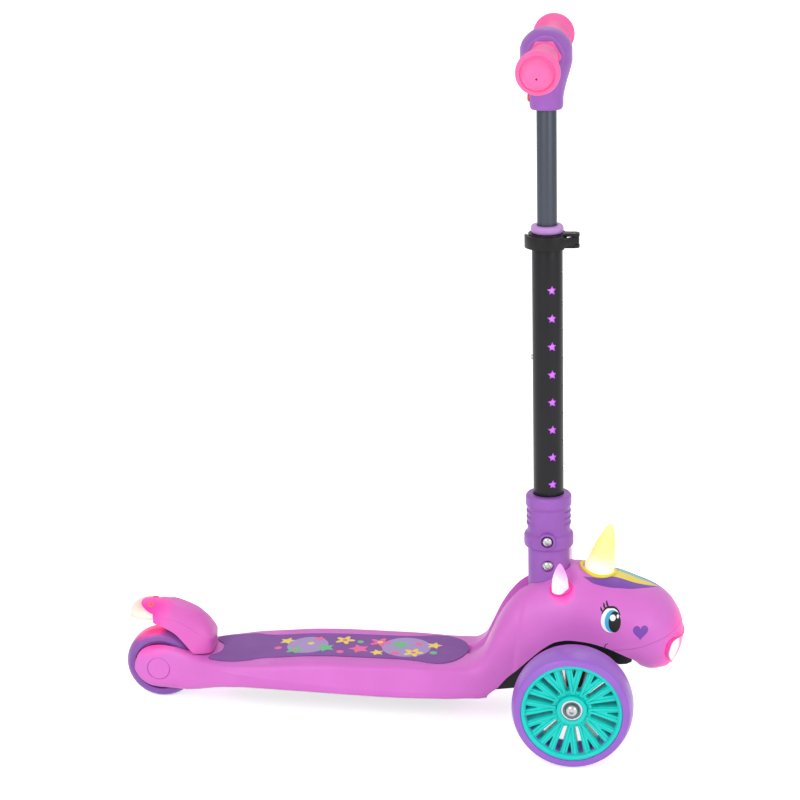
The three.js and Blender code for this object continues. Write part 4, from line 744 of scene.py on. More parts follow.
def build_body():
    """Deck with fork, neck and head, and the jaw, cut from the same skin."""
    body = body_skin("pink_deck_and_head", -283, 294.7)
    guide = twin(body, "body_guide")
    rings = []
    for x in stations(-188, 63, 12):
        top, _, widest, half, square, _ = body_at(x, 3.5)
        roof = [(x, half * bulged(cos(a), 2 / square), widest + (top - widest) * sin(a) ** (2 / square))
                for a in [pi * (i + 0.5) / 40 for i in range(40)]]
        rings.append(roof + [(x, -40.3, widest - 4), (x, -40.3, 5), (x, 40.3, 5), (x, 40.3, widest - 4)])
    slot = [(-335, -4), (-335, 80)] + [
        polar(42, a, REAR_AXLE[::2]) for a in stations(pi / 2, -pi / 2, 0.06)]
    seat = plate("mat_seat", [mat_outline(GAP)], 20, 90)
    combine(seat, [deck_strip("seat_depth", 1.9, 25)], "INTERSECT")
    combine(body, [
        loft("under_room", rings), seat,
        slab("wheel_slot", slot, 17.5),
        block("brake_room", (-216.2, -12.3, 40.7), (-202.7, 12.3, 80)), foot_room(),
        fork_disc("right_pocket", 12.3, 22.9, 40, 1), fork_disc("left_pocket", 12.3, 22.9, 40, -1),
        body_skin("head_room", 134, 268, 3.5, False, 6),
        slab("arch_room", ARCH_LINE + [(254.5, -30), (92.7, -30)], 100),
        socket_room("socket_room"),
    ])
    jaw = twin(body, "pink_jaw")
    scene.collection.objects.link(jaw)
    low = [(330, 116), (330, -20)]
    under = slab("below_mouth", [(x, z - 0.15) for x, z in MOUTH_LINE] + low + [(215.4, -20)], 100)
    combine(jaw, [under], "INTERSECT")
    over = slab("jaw_room", [(x, z + 0.15) for x, z in MOUTH_LINE] + low + [(215.0, -20)], 100)
    combine(body, [over, horn_shape("horn_room", GAP)])
    finish_piece(body, "deck", pink_polypropylene, ["deck_shell", "head_shell"], 30)
    finish_piece(jaw, "deck", pink_polypropylene, ["jaw_shell"], 30)
    return guide


def build_lights():
    """Horn with its yellow ring, whose sides bend down with the head, and the two ears."""
    finish_piece(horn_shape("yellow_horn_lens"), "deck", horn_lens, ["horn"])
    ring = spun(
        "horn_ring", [(16, -14), (19.2, -14), (19.7, -2), (19.7, 1.2), (18.8, 2.4), (17.4, 2.2),
            (16.8, 0.4), (16, 0.2)], 1.2, 4, 96, True)
    for point in ring.data.vertices:
        point.co.z -= 2.9 * (point.co.y / 19.7 / MM) ** 2 * MM
    placed(ring, moved(205, 0, 163.45) @ turned(11.2, "Y"))
    combine(ring, [body_skin("head_top", 160, 250, -GAP, False, 4)])
    finish_piece(ring, "deck", yellow_abs, ["horn_base_ring"])
    for side, name in SIDES:
        lens = ear_shape("ear_lens_" + name)
        if side < 0:
            placed(lens, OTHER_SIDE)
        finish_piece(lens, "deck", ear_lens, ["ear_" + name])


# Wheels, each turned about its own Z and then laid across the scooter

def rim_panel(inner, outer, base, half_in, half_out, angle):
    """A wedge between two radii, widening outwards, with rounded corners."""
    points = [(inner, -half_in), (outer, -half_out), (outer, half_out), (inner, half_in)]
    ring = rounded(points, [half_in * 0.98, base, base, half_in * 0.98], 4, closed=True)
    c, s = cos(angle), sin(angle)
    return [(x * c - y * s, x * s + y * c) for x, y in ring]


def bearing(name, body, place):
    """A shielded ball bearing: two ground rings and the pressed shield between them."""
    outer = placed(spun(name, [(8.9, 0.3), (9.1, 0), (11, 0), (11, 7), (9.1, 7), (8.9, 6.7)], 0.4, 2, 72,
                        True), place)
    finish_piece(outer, body, bearing_steel)
    shield = placed(
        spun(name + "_shield", [(6.6, 0.7), (8.95, 0.5), (8.95, 6.5), (6.6, 6.3)], 0.2, 2, 72, True), place)
    finish_piece(shield, body, bearing_shield, [name])
    race = placed(spun(name + "_race", [(4.3, 0.1), (6.5, 0.1), (6.5, 6.9), (4.3, 6.9)], 0.4, 2, 72, True),
                  place)
    finish_piece(race, body, bearing_steel, [name])


def button_bolt(name, body, place, inner, outer, head=6.5, shank=4.0):
    """A button head bolt: domed head with a hexagon socket, and its shank."""
    shape = spun(name, [(0, inner), (shank, inner), (shank, outer), (head, outer), (head, outer + 1.4),
                        (head * 0.78, outer + 3.1), (head * 0.45, outer + 4), (0, outer + 4)],
                 [0, 0.5, 0, 0.2, 0.6, 1.2, 0.8, 0], 4, 64)
    key = plate("key_room", [circle(2.6, 6)], outer + 1.6, outer + 9)
    combine(shape, [key])
    finish_piece(placed(shape, place), body, bright_zinc)


def hexagon_nut(name, place, bore, face, width, height):
    """A hexagon nut with a bevel on both faces."""
    nut = lathe(name, [(bore, 0), (face, 0), (width, 0.5), (width, height - 0.5), (face, height),
                       (bore, height)], 6, True)
    finish_piece(placed(nut, place), "deck", bright_zinc, sharp=10)


def front_wheel(side):
    """Tyre, spoked rim, two bearings and the axle bolt."""
    name = "right" if side > 0 else "left"
    body = "wheel_" + name
    turn = moved(0, -HALF_TRACK * side, 0) @ moved(*FRONT_AXLE) @ across(side)
    tyre = spun(
        "tyre_" + name, *both_ends([(46, -14), (50.7, -18.2), (51, -21.5), (57.6, -21.5), (61, -9.5)],
            [0.4, 0.2, 0.6, 4.5, 7]), 8, 160, True)
    finish_piece(placed(tyre, turn), body, cast_polyurethane)
    lip = spun(
        "rim_lip",
        *both_ends([(46.2, -9), (46.2, -17.5), (48, -19.6), (50.6, -20), (51, -18.4), (50.4, -14)],
                   [0.5, 1, 1, 0.6, 0.5, 1]), 4, 160, True)
    holes = [circle(15.2, 48)]
    for i in range(12):
        angle = radians(13 + 30 * i)
        holes.append(rim_panel(19.4, 46, 1.2, 2.0, 3.1, angle))
        holes.append(rim_panel(35, 46.2, 0.5, 0.35, 2.5, angle + radians(15)))
    web = plate("web", [circle(47, 160)] + holes, -4, 8.2, 0.5)
    dish(web)
    ribs = []
    for i in range(12):
        for lean in (-1, 1):
            ribs.append(spoke_rib(radians(28 + 30 * i), lean))
    hub = spun("hub", [(11.05, -14), (15, -14), (15.4, -11), (15.4, 11), (15, 14), (11.05, 14),
                       (11.05, 6.2), (6.8, 6.2), (6.8, -6.2), (11.05, -6.2)],
               [0.4, 0.6, 0.6, 0.6, 0.6, 0.4, 0.2, 0.3, 0.3, 0.2], 3, 96, True)
    rim = joined("rim_" + name, [lip, web, hub] + ribs)
    finish_piece(placed(rim, turn), body, teal_nylon, sharp=28)
    for depth, place in ((5.5, "outer"), (-12.5, "inner")):
        bearing(place + "_bearing_" + name, body, turn @ moved(0, 0, depth))
    button_bolt("axle_bolt_" + name, "truck", turn, -69, 12.8)


def dish(web):
    """Bends the spoke web: its outer face sinks from the rim towards the hub."""
    for point in web.data.vertices:
        radius = hypot(point.co.x, point.co.y) / MM
        if point.co.z > 0:
            share = min(1, max(0, (radius - 15) / 31))
            point.co.z += (0.5 + 5.6 * share ** 1.3) * MM


def spoke_rib(angle, lean):
    """One of the two raised ribs along the edges of a spoke."""
    rings = []
    for radius in stations(16, 46.4, 2.2):
        share = (radius - 15) / 31
        middle = lean * (0.9 + 5.3 * max(0, (radius - 17) / 29))
        base = 8.7 + 5.6 * share ** 1.3
        half = 1.35 + 0.35 * share
        section = [(-half, -1.5), (-half, 1.0), (-half * 0.62, 1.9), (half * 0.62, 1.9), (half, 1.0),
                   (half, -1.5)]
        ring = []
        for across_rib, up in rounded(section, [0, 0.5, 0.6, 0.6, 0.5, 0], 2, True):
            y = middle + across_rib
            ring.append((radius * cos(angle) - y * sin(angle),
                         radius * sin(angle) + y * cos(angle), base + up))
        rings.append(ring)
    return loft("rib", rings)


def kingpin_place():
    """On the kingpin's axis, which leans back from the front axle."""
    return moved(*FRONT_AXLE) @ turned(KINGPIN_LEAN, "Y")


def build_truck():
    """Beam between the front wheels, which leans on a bush about the kingpin."""
    rings = []
    for y in stations(-95.5, 95.5, 3):
        share = blend_value([(-1, 0), (-0.7, 0.4), (-0.2, 1), (0.2, 1), (0.7, 0.4), (1, 0)], y / 95.5)
        half = 8.5 + 4.5 * share
        rings.append([(x, y, z) for x, z in oval((0, 0), half, half, 40, 4)])
    beam = placed(loft("truck_beam", rings), moved(*FRONT_AXLE))
    spigot = placed(
        spun("spigot", [(4.3, -108.7), (6.5, -108.7), (6.5, 108.7), (4.3, 108.7)], 0.5, 2, 48, True),
        moved(*FRONT_AXLE) @ across())
    core = placed(spun("core", [(5.4, -14), (15, -14), (15, 13), (5.4, 13)], 1.2, 3, 64, True),
                  kingpin_place())
    bore = placed(rod("bore", 5.4, -60, 60), kingpin_place())
    combine(beam, [bore])
    beam = joined("truck_beam", [beam, spigot, core])
    finish_piece(beam, "truck", black_abs)
    bush = placed(
        spun("truck_bush", [(5.5, 13.4), (11.5, 13.4), (12, 15.5), (10.6, 18.2), (12, 21), (11.5, 23),
            (5.5, 23)], [0.3, 0.6, 1.5, 2, 1.5, 0.6, 0.3], 3, 64, True), kingpin_place())
    finish_piece(bush, "deck", black_rubber)
    pin = placed(
        spun("kingpin", [(0, -18.5), (7, -18.5), (9, -17.4), (9, -14.6), (5, -14.5), (5, 42), (4, 43),
            (0, 43)], 0.5, 3, 64), kingpin_place())
    combine(pin, [placed(plate("key_room", [circle(3.5, 6)], -30, -15.4), kingpin_place())])
    finish_piece(pin, "deck", bright_zinc)


def build_arch():
    """Black liner of the wheel arch with its boss, the under tray and the battery cover."""
    edge = [(x, z) for x, z in ARCH_LINE if 99.5 <= x <= 243.5]
    lower = [(x,
              blend_value([(124, 43), (131, 60), (143, 76), (157, 87), (173, 92.6), (190, 93), (207, 89.5),
            (221, 82), (230, 74.5), (238.5, 75.5)], x)) for x in stations(238.5, 124, 3)]
    outline = [(x, z - GAP) for x, z in edge] + [(243.3, 78)] + lower
    liner = slab("arch_liner", outline, 43, 1.0)
    boss = placed(spun("boss", [(5.3, 23.3), (12.6, 23.3), (14, 30), (14, 44), (5.3, 44)], 0.8, 3, 64,
                       True), kingpin_place())
    bore = placed(rod("bore", 5.3, 20, 60), kingpin_place())
    combine(liner, [bore])
    finish_piece(joined("arch_liner", [liner, boss]), "deck", black_abs)
    tray = plate("under_tray", [[(-187.6, -40), (65.6, -40), (65.6, 40), (-187.6, 40)]], 28, 31, 0.4)
    combine(tray, [block("cover_room", (-51.5, -24.4, 20), (11.2, 24.4, 30.3))])
    finish_piece(tray, "deck", black_abs)
    cover = plate("battery_cover", [rounded([(-51, -24), (10.8, -24), (10.8, 24), (-51, 24)], 3, 4, True)],
                  28, 30, 0.4)
    finish_piece(cover, "deck", black_abs)


def build_rear():
    """Rear wheel with its bearings, axle bolt and nut, and the caps on the fork's arms."""
    turn = moved(*REAR_AXLE) @ across()
    tyre = spun(
        "rear_tyre", *both_ends([(25.5, -9), (27, -11.6), (27.3, -15), (33, -15), (38, -8)],
            [0.3, 0.3, 0.6, 3.5, 5]), 7, 128, True)
    finish_piece(placed(tyre, turn), "wheel_rear", dark_polyurethane)
    rim = spun(
        "rear_rim", [(11.05, -13.7), (14, -13.7), (15.5, -6), (22.5, -5.5), (24, -11.8), (26.8, -12),
            (26.9, 12), (24, 11.8), (22.5, 5.5), (15.5, 6), (14, 13.7), (11.05, 13.7), (11.05, 6.2),
            (7.5, 6.2), (7.5, -6.2), (11.05, -6.2)], 0.7, 3, 128, True)
    finish_piece(placed(rim, turn), "wheel_rear", lavender_polypropylene)
    for depth, side in ((6.5, "right"), (-13.5, "left")):
        bearing("rear_bearing_" + side, "wheel_rear", turn @ moved(0, 0, depth))
    button_bolt("rear_axle", "deck", turn, -19.7, 19.1)
    hexagon_nut("rear_axle_nut", turn @ moved(0, 0, -23.1), 4.1, 6.4, 7.2, 3.4)
    for side, name in SIDES:
        cap = spun("fork_cap_" + name, [(0, 23.4), (12, 23.4), (12, 24.6), (11.2, 25.3), (0, 25.4)],
                   [0, 0, 0.5, 0.5, 0])
        finish_piece(placed(cap, moved(*REAR_AXLE) @ across(side)), "deck", pink_polypropylene)


def brake_skin():
    """The fender's wall, ridge and domed crest, lofted along its length."""
    rings = []
    for t in stations(0, 10, 0.16):
        low_x, low_z, ridge_x, ridge_z, crest_x, crest_z, half = blend_all(BRAKE_PARTS, t)
        upper = []
        for k in range(6):
            share = k / 5
            upper.append((low_x + (ridge_x - low_x) * share, half * (1 - 0.07 * share ** 1.5),
                          low_z + (ridge_z - low_z) * share))
        for k in range(17):
            share = 1 - (1 - k / 16) ** 2.9
            upper.append((ridge_x + (crest_x - ridge_x) * share, half * 0.905 * (1 - k / 16),
                          ridge_z + (crest_z - ridge_z) * share))
        rings.append(upper + [(x, -y, z) for x, y, z in reversed(upper[:-1])])
    return loft("foot_brake", rings)


def tail_tongue(gap=0.0, above=0.0):
    """The fender's top runs on over the tail light as a rounded tongue."""
    rings = []
    for x in stations(-261, -277, 1) + [-277.6, -278.1, -278.4]:
        half = 22.4 * sqrt(max(0.001, 1 - (max(0, -262 - x) / 16.5) ** 2)) + gap
        top = blend_value([(-279, 104.4), (-270, 106), (-261, 106.7)], x)
        upper = [half * (1 - k / 12) for k in range(25)]
        ring = [(x, y, top - 9.5 * (abs(y) / 23) ** 2.6) for y in upper]
        rings.append([(x, y, z + above) for x, y, z in ring]
                     + [(x, y, z - 3 - gap) for x, y, z in reversed(ring)])
    return loft("tongue", rings)


def build_brake():
    """Foot brake with its hinge, its pin and its pad."""
    hinge = moved(*BRAKE_HINGE) @ across()
    fender = brake_skin()
    combine(fender, [tail_tongue()], "UNION")
    pad_skin = skin_tree(fender)
    eye = placed(rod("eye_round", 5.9, -12, 12), hinge)
    combine(fender, [eye], "UNION")
    combine(fender, [block("eye_web", (-214.8, -12, 47), (-203.2, 12, 60))], "UNION")
    bore = placed(rod("bore", 2.8, -30, 30, 32), hinge)
    combine(fender, [bore])
    finish_piece(fender, "brake", brake_polypropylene, ["brake_fender"], 34)
    above = caster(pad_skin)
    tread = sheet("foot_brake_tread", fan(oval((-231, 0), 20, 14.5, 72, 2.2), (-231, 0), 0.0, 12), above,
                  [(0, 0.7), (0.86, 0.7), (0.95, 0.5), (1, 0.02)], 0.4, True)
    finish_piece(tread, "brake", brake_polypropylene, (), 40)
    pin = placed(spun("brake_hinge_pin", [(0, -17.4), (2.5, -17.4), (2.5, 17.4), (0, 17.4)], 0.5, 2, 32),
                 hinge)
    finish_piece(pin, "deck", bright_zinc)
    inner = [polar(41.4, a, REAR_AXLE[::2]) for a in stations(1.55, 0.98, 0.06)]
    outer = [(blend_value(BRAKE_PARTS[0], t), blend_value(BRAKE_PARTS[1], t) - GAP)
             for t in stations(1.05, 4, 0.2)]
    pad = slab("brake_pad", inner + outer[::-1], 12, 0.5)
    finish_piece(pad, "brake", black_rubber)
    build_tail_light()


TAIL_TOP = [(-290.8, 95), (-290, 98.5), (-288, 101.2), (-284, 103.4), (-276, 105), (-262, 106)]
TAIL_LOW = [(-290.8, 91.5), (-289.5, 89.4), (-286, 88.3), (-275, 88.3), (-262, 89.2)]


def build_tail_light():
    """The lens wraps round the fender's rear, under its tongue; a lamp strip lights it and the wheel."""
    rings = []
    for x in [-290.8, -290.5, -290, -289.2, -288.2, -287] + stations(-285.5, -262.3, 1.5):
        half = max(3, 23 * (1 - ((-262 - x) / 29) ** 2.4) ** (1 / 2.4))
        top, low = blend_value(TAIL_TOP, x), blend_value(TAIL_LOW, x)
        middle = low + 0.42 * (top - low)
        rings.append([(x, half * bulged(cos(a), 0.62),
                       middle + (top - middle if a < pi else middle - low) * bulged(sin(a), 0.8))
                      for a in angles_round(72)])
    lens = loft("tail_light_lens", rings)
    combine(lens, [tail_tongue(GAP, 20), block("lamp_room", (-281, -12.6, 80), (-264, 12.6, 91))])
    finish_piece(lens, "brake", tail_lens, sharp=40)
    finish_piece(block("tail_lamp_strip", (-280.6, -12.2, 89.6), (-264.4, 12.2, 90.8), 2), "brake",
                 tail_lamp, ())
    for side in (1, -1):
        head = spun("tail_light_screw",
                    [(0, -3), (3.6, -3), (3.6, 0.3), (2.6, 1.1), (1.2, 1.1), (1.0, 0.2), (0, 0.2)],
                    [0, 0, 0.6, 0.4, 0.1, 0.1, 0], 3, 48)
        head.name = "tail_light_screw_" + ("right" if side > 0 else "left")
        place = moved(-266, -12 * side, 104.9) @ turned(17 * side, "X")
        finish_piece(placed(head, place), "brake", screw_cap, ())


# Stem: everything here stands on the raked axis

def button_hole():
    """The hole for the snap button, in the tube's rear."""
    hole = rod("button_hole", 2.8, 0, 30, 32)
    return placed(hole, moved(0, 0, BUTTON_HEIGHT) @ turned(-90, "Y"))


def build_stem():
    """Outer tube with its star shaped cut-outs, and the light guide behind them."""
    tube = spun("stem_tube", [(13.7, 112), (15.5, 112), (15.5, 518), (13.7, 518)], 0.4, 2, 120, True)
    cutters = []
    for turn, shift in ((68.4, 0), (-68.4, 0), (0, STAR_PITCH / 2)):
        for i in range(8):
            height = LOWEST_STAR + i * STAR_PITCH + shift
            cut = plate("star_cut", [rounded(star(5.7, 2.6, pi), 0.35, 2, True)], 10, 21)
            place = moved(0, 0, height) @ turned(turn, "Z") @ turned(90, "Y")
            cutters.append(placed(cut, place))
    cutters.append(button_hole())
    combine(tube, [joined("stars", cutters)])
    finish_piece(placed(tube, on_stem()), "deck", black_powder_coat)
    guide = lathe("star_light_guide", [(12.2, 246), (13.4, 246), (13.4, 492), (12.2, 492)], 96, True)
    combine(guide, [button_hole()])
    finish_piece(placed(guide, on_stem()), "deck", star_lens)
    build_foot()
    build_clamp()


def bolt_room(radius, inner, height, side):
    """A round recess for a bolt's head or its nut."""
    turn = moved(0, 0, height) @ across(side)
    return placed(rod("bolt_room", radius, inner, 60), turn)


def build_foot():
    """Lower socket and upper collar with their bolts."""
    socket = spun(
        "stem_socket", [(0, 108), (25, 108), (25, 126), (21.6, 132), (21.6, 187.6), (15.9, 187.6),
            (15.9, 111.6), (0, 111.6)], [0, 1, 2, 2, 0.7, 0.3, 0, 0], 3, 120)
    combine(socket, [bolt_room(6.2, 19.8, LOWER_BOLT, side) for side in (1, -1)])
    finish_piece(placed(socket, on_stem()), "deck", lavender_polypropylene)
    collar = spun(
        "stem_collar", [(15.8, 188), (24.6, 188), (25.6, 189.6), (25.6, 200.8), (22, 203.8), (21.8, 229.2),
            (23.6, 232.2), (23.6, 242), (21.6, 244), (15.8, 244)],
        [0.3, 0.6, 0.9, 2.2, 1.4, 1.4, 1.2, 1.4, 1, 0.3], 4, 120, True)
    for side in (1, -1):
        boss = spun("boss", [(0, 18), (8.6, 18), (8.6, 27.2), (6.4, 27.2), (6.4, 24), (0, 24)],
                    [0, 0, 1, 0.5, 0.2, 0], 3, 72)
        combine(collar, [placed(boss, moved(0, 0, UPPER_BOLT) @ across(side))], "UNION")
    combine(collar, [bolt_room(6.2, 23.8, UPPER_BOLT, side) for side in (1, -1)])
    for i in range(3):
        low = 230 - (i + 1) * 6.4
        rib = spun("rib", [(20, low), (23, low), (23, low + 3), (20, low + 3)], [0, 0.8, 0.8, 0], 3, 96,
                   True)
        combine(rib, [block("rib_part", (-40, -14, 0), (40, 14, 300), 3)], "INTERSECT")
        combine(collar, [rib], "UNION")
    finish_piece(placed(collar, on_stem()), "deck", lavender_polypropylene)
    for name, height, face in (("lower", LOWER_BOLT, 20.1), ("upper", UPPER_BOLT, 24.1)):
        button_bolt(f"{name}_stem_bolt", "deck", on_stem(height) @ across(1), -face, face, 5.6, 3)
        hexagon_nut(f"{name}_stem_nut", on_stem(height) @ across(-1) @ moved(0, 0, face), 3.3, 5, 5.6, 3)


def pin_room():
    """The hole for the clamp's pin."""
    return placed(rod("pin_room", 2.4, 490, 530, 32), moved(CLAMP_PIN_REACH, 0, 0))


def build_clamp():
    """Bush on the tube's top, quick release clamp, its pin and lever, and the snap button."""
    bush = spun(
        "tube_top_bush", [(10.3, 500), (13.4, 500), (13.4, 518.3), (15.2, 518.3), (16.5, 520.2),
            (16.5, 523.8), (15.2, 526), (10.3, 526)], [0.3, 0.3, 0, 0.5, 1.4, 1.4, 0.8, 0.4], 4, 96, True)
    finish_piece(placed(bush, on_stem()), "deck", pale_polypropylene)
    outline = [polar(19, a) for a in stations(radians(17), radians(343), 0.06)]
    lug = [polar(5.5, a, (CLAMP_PIN_REACH, 0)) for a in stations(-pi / 2, pi / 2, 0.15)]
    collar = plate("clamp_collar", [outline + lug, circle(15.8, 96)], 503, 518, 0.8)
    combine(collar, [block("lug_gap", (19.6, -12, 506.2), (60, 12, 514.8)), pin_room()])
    finish_piece(placed(collar, on_stem()), "deck", black_abs)
    pin = spun("clamp_pin", [(0, 503.3), (2, 503.3), (2, 517.7), (0, 517.7)], 0.5, 2, 32)
    finish_piece(placed(pin, on_stem() @ moved(CLAMP_PIN_REACH, 0, 0)), "deck", bright_zinc)
    angles = stations(radians(-42), radians(-172), 0.05)
    arm = [polar(19.6, a) for a in angles]
    back = [polar(24.1 - 1.2 * i / len(angles), a) for i, a in enumerate(angles)]
    lever = plate("clamp_lever", [rounded(arm + back[::-1], 0.9, 2, True)], 504, 517, 0.9)
    link = plate("link",
                 [[arm[0], (27 - 2.6, -3.4), (25, 5.0), (28, 5.1), (32.1, 1), (31.6, -2.6), (28, -5.2),
                   back[0], back[6], arm[6]]], 506.5, 514.5, 0.6)
    combine(link, [pin_room()])
    lever = joined("clamp_lever", [lever, link])
    finish_piece(placed(lever, on_stem()), "clamp_lever", black_abs)
    button = lathe(
        "snap_button", [(0, 13.7), (2.5, 13.7), (2.5, 16.2), (2.2, 17), (1.6, 17.5), (0.8, 17.7),
            (0, 17.7)], 48)
    finish_piece(placed(button, on_stem(BUTTON_HEIGHT) @ turned(-90, "Y")), "snap_button", bright_zinc)


# Handlebar

HUB_ROWS = [
    (643, 15.3, 14.4), (644.4, 16.2, 15.2), (647, 16.7, 15.6), (652, 16.7, 15.6), (660.6, 17.9, 16.6),
    (671.8, 20.8, 18.9), (684.6, 24.5, 21.9), (691, 25.7, 22.9), (702.2, 25.6, 23), (708.6, 23.8, 21.5),
    (715, 19.2, 18), (719.8, 13, 12.8), (722, 8.2, 8.2), (722.9, 2.4, 2.6)]


def hub_skin(name):
    """The hub's squarish skin, from its foot on the tube to its domed top."""
    rings = []
    for z in stations(643, 716, 1.4) + [717.5, 719, 720.2, 721.2, 722, 722.6, 722.9]:
        long, wide = blend_all(curves(HUB_ROWS), z)
        rings.append([(x, y, z) for x, y in oval((0, 0), long, wide, 96, 2.4)])
    return loft(name, rings)


# Grip: its tube, the flared end, the thin groove in its step and the dome
GRIP_PROFILE = [
    (11.3, 25.3), (13.6, 25.3), (13.6, 30.2), (13.8, 30.2), (13.8, 104), (15.2, 110), (19.6, 116.2),
    (21.3, 118.6), (21.3, 124.6), (20.2, 126.8), (19.4, 127.1), (19.0, 128.3), (18, 128.5), (17.6, 129.7),
    (16.9, 129.9), (16.5, 128.9), (15.8, 128.9), (15.4, 129.9), (14.9, 129.9), (14.6, 131.2), (13.8, 136),
    (11.6, 139.4), (7.6, 141.3), (0, 142), (0, 122.3), (11.3, 122.3)]
GRIP_RADII = [
    0.3, 0.3, 0, 0, 0, 3, 3, 1.6, 1.6, 1, 0.5, 0.5, 0.5, 0.4, 0.3, 0.2, 0.2, 0.3, 0.3, 1, 2, 2, 2, 0, 0,
    0.3]


def build_bar():
    """Inner tube, hub, crossbar, light button and the two grips with their hexagonal collars."""
    inner = spun("inner_tube", [(8.4, 372), (10, 372), (10, 686.5), (8.4, 686.5)], 0.4, 2, 96, True)
    finish_piece(placed(inner, on_stem()), "bar", drawn_steel)
    across_bar = moved(0, 0, BAR_HEIGHT) @ across()
    hub = hub_skin("handle_hub")
    sleeve = placed(spun("sleeve", [(0, -25), (19, -25), (19, 25), (0, 25)], [0, 1.6, 1.6, 0], 4),
                    across_bar)
    combine(hub, [sleeve], "UNION")
    combine(hub,
            [placed(rod("bar_room", 11.3, -40, 40, 64), across_bar), rod("tube_room", 10.3, 600, 690, 64),
             placed(rod("button_room", 4.8, 8, 40), moved(0, 0, LIGHT_BUTTON_HEIGHT) @ turned(-90, "Y"))])
    finish_piece(placed(hub, on_stem()), "bar", lavender_polypropylene, sharp=34)
    bar = spun("crossbar", [(9.2, -122), (11, -122), (11, 122), (9.2, 122)], 0.4, 2, 96, True)
    finish_piece(placed(bar, on_stem() @ across_bar), "bar", drawn_steel)
    button = spun("light_button", [(0, 10), (4.5, 10), (4.5, 17.6), (3.6, 18.7), (0, 18.8)],
                  [0, 0.2, 0.8, 0.8, 0], 4, 64)
    finish_piece(placed(button, on_stem(LIGHT_BUTTON_HEIGHT) @ turned(-90, "Y")), "light_button",
                 button_red)
    for side, name in SIDES:
        turn = on_stem() @ moved(0, 0, BAR_HEIGHT) @ across(side)
        grip = spun("grip_" + name, GRIP_PROFILE, GRIP_RADII, 3, 120)
        vent = placed(rod("vent", 1.1, 138, 150, 24), moved(0, -3, 0))
        combine(grip, [vent])
        collar = plate("hex_collar", [rounded(circle(17, 6), 1.6, 4, True), circle(13.7, 96)],
                       25.4, 30.3, 0.6)
        grip = joined("grip_" + name, [grip, collar])
        finish_piece(placed(grip, turn), "bar", grip_rubber, sharp=28)


# Prints and small reliefs that lie on a skin, in millimetres

def sheet(name, rows, cast, lifts, sink=0.5, around=False):
    """A thin piece that follows a skin: rows of flat places, and its height above the skin by row."""
    count = len(rows[0])
    tops, lows = [], []
    for k, row in enumerate(rows):
        lift = blend_value(lifts, k / (len(rows) - 1))
        for place in row:
            point, normal = cast(*place)
            tops.append(point + normal * lift)
            lows.append(point - normal * sink)
    size = len(tops)
    faces = []
    for k in range(len(rows) - 1):
        for i in range(count if around else count - 1):
            j = (i + 1) % count
            corners = (k * count + i, k * count + j, (k + 1) * count + j, (k + 1) * count + i)
            faces.append(corners)
            faces.append(tuple(size + c for c in reversed(corners)))
    last = (len(rows) - 1) * count
    if around:
        rims = [[last + i for i in range(count)], list(range(count))]
    else:
        rim = list(range(count)) + [k * count + count - 1 for k in range(1, len(rows))]
        rim += [last + i for i in range(count - 2, -1, -1)]
        rim += [k * count for k in range(len(rows) - 2, 0, -1)]
        rims = [rim]
    for line in rims:
        for i, a in enumerate(line):
            b = line[(i + 1) % len(line)]
            faces.append((a, b, size + b, size + a))
    return make_object(name, tops + lows, faces)


def fan(outline, centre=None, inner=0.0, rows=6):
    """Rows of places that shrink an outline towards its middle."""
    middle = centre or [sum(p[k] for p in outline) / len(outline) for k in (0, 1)]
    out = []
    for i in range(rows + 1):
        share = inner + (1 - inner) * i / rows
        out.append([(middle[0] + (x - middle[0]) * share, middle[1] + (y - middle[1]) * share)
                    for x, y in outline])
    return out


def stroke(points, width, ends=0.15, steps=14):
    """Rows for a line of ink that tapers towards its ends."""
    lines = columns(points)
    left, right = [], []
    last = len(points) - 1
    for i in range(steps + 1):
        t = last * i / steps
        x, y = blend_all(lines, t)
        ahead, behind = blend_all(lines, min(last, t + 0.05)), blend_all(lines, max(0, t - 0.05))
        dx, dy = ahead[0] - behind[0], ahead[1] - behind[1]
        size = hypot(dx, dy) or 1
        half = width / 2 * (ends + (1 - ends) * sin(pi * min(1, max(0, 0.1 + 0.8 * i / steps))))
        left.append((x - dy / size * half, y + dx / size * half))
        right.append((x + dy / size * half, y - dx / size * half))
    return [left, right]


def heart(centre, width):
    """The usual heart curve, drawn a little taller."""
    points = []
    for i in range(64):
        a = tau * (i + 0.5) / 64
        x = 16 * sin(a) ** 3
        y = 13 * cos(a) - 5 * cos(2 * a) - 2 * cos(3 * a) - cos(4 * a)
        points.append((centre[0] + x * width / 32, centre[1] + 1.12 * y * width / 32))
    return points


def band(edge_a, edge_b, steps=40, rows=6):
    """Rows of places between two edges, each a list of a few points."""
    pairs = [[blend_all(columns(edge), i / steps * (len(edge) - 1)) for edge in (edge_a, edge_b)]
             for i in range(steps + 1)]
    return [[(a[0] + (b[0] - a[0]) * (k / rows), a[1] + (b[1] - a[1]) * (k / rows)) for a, b in pairs]
            for k in range(rows + 1)]


def skin_tree(item):
    """A finished skin that places can be cast onto."""
    work = bmesh.new()
    work.from_mesh(item.data)
    bmesh.ops.triangulate(work, faces=work.faces)
    tree = BVHTree.FromBMesh(work)
    work.free()
    return tree


def caster(tree, start=100, way=(0, 0, -1), flat=lambda a, b: Vector((a, b, 200))):
    """Casts flat places onto a skin along one direction, from above unless another is given."""
    direction = Vector(way).normalized()

    def cast(a, b):
        origin = flat(a, b)
        point, normal, _, _ = tree.ray_cast((origin - direction * 200) * MM, direction)
        if point is None:
            point, normal, _, _ = tree.find_nearest((origin + direction * start) * MM)
        if normal.dot(direction) > 0:
            normal = -normal
        return point / MM, normal
    return cast


INK = [(0, 0.12), (1, 0.12)]


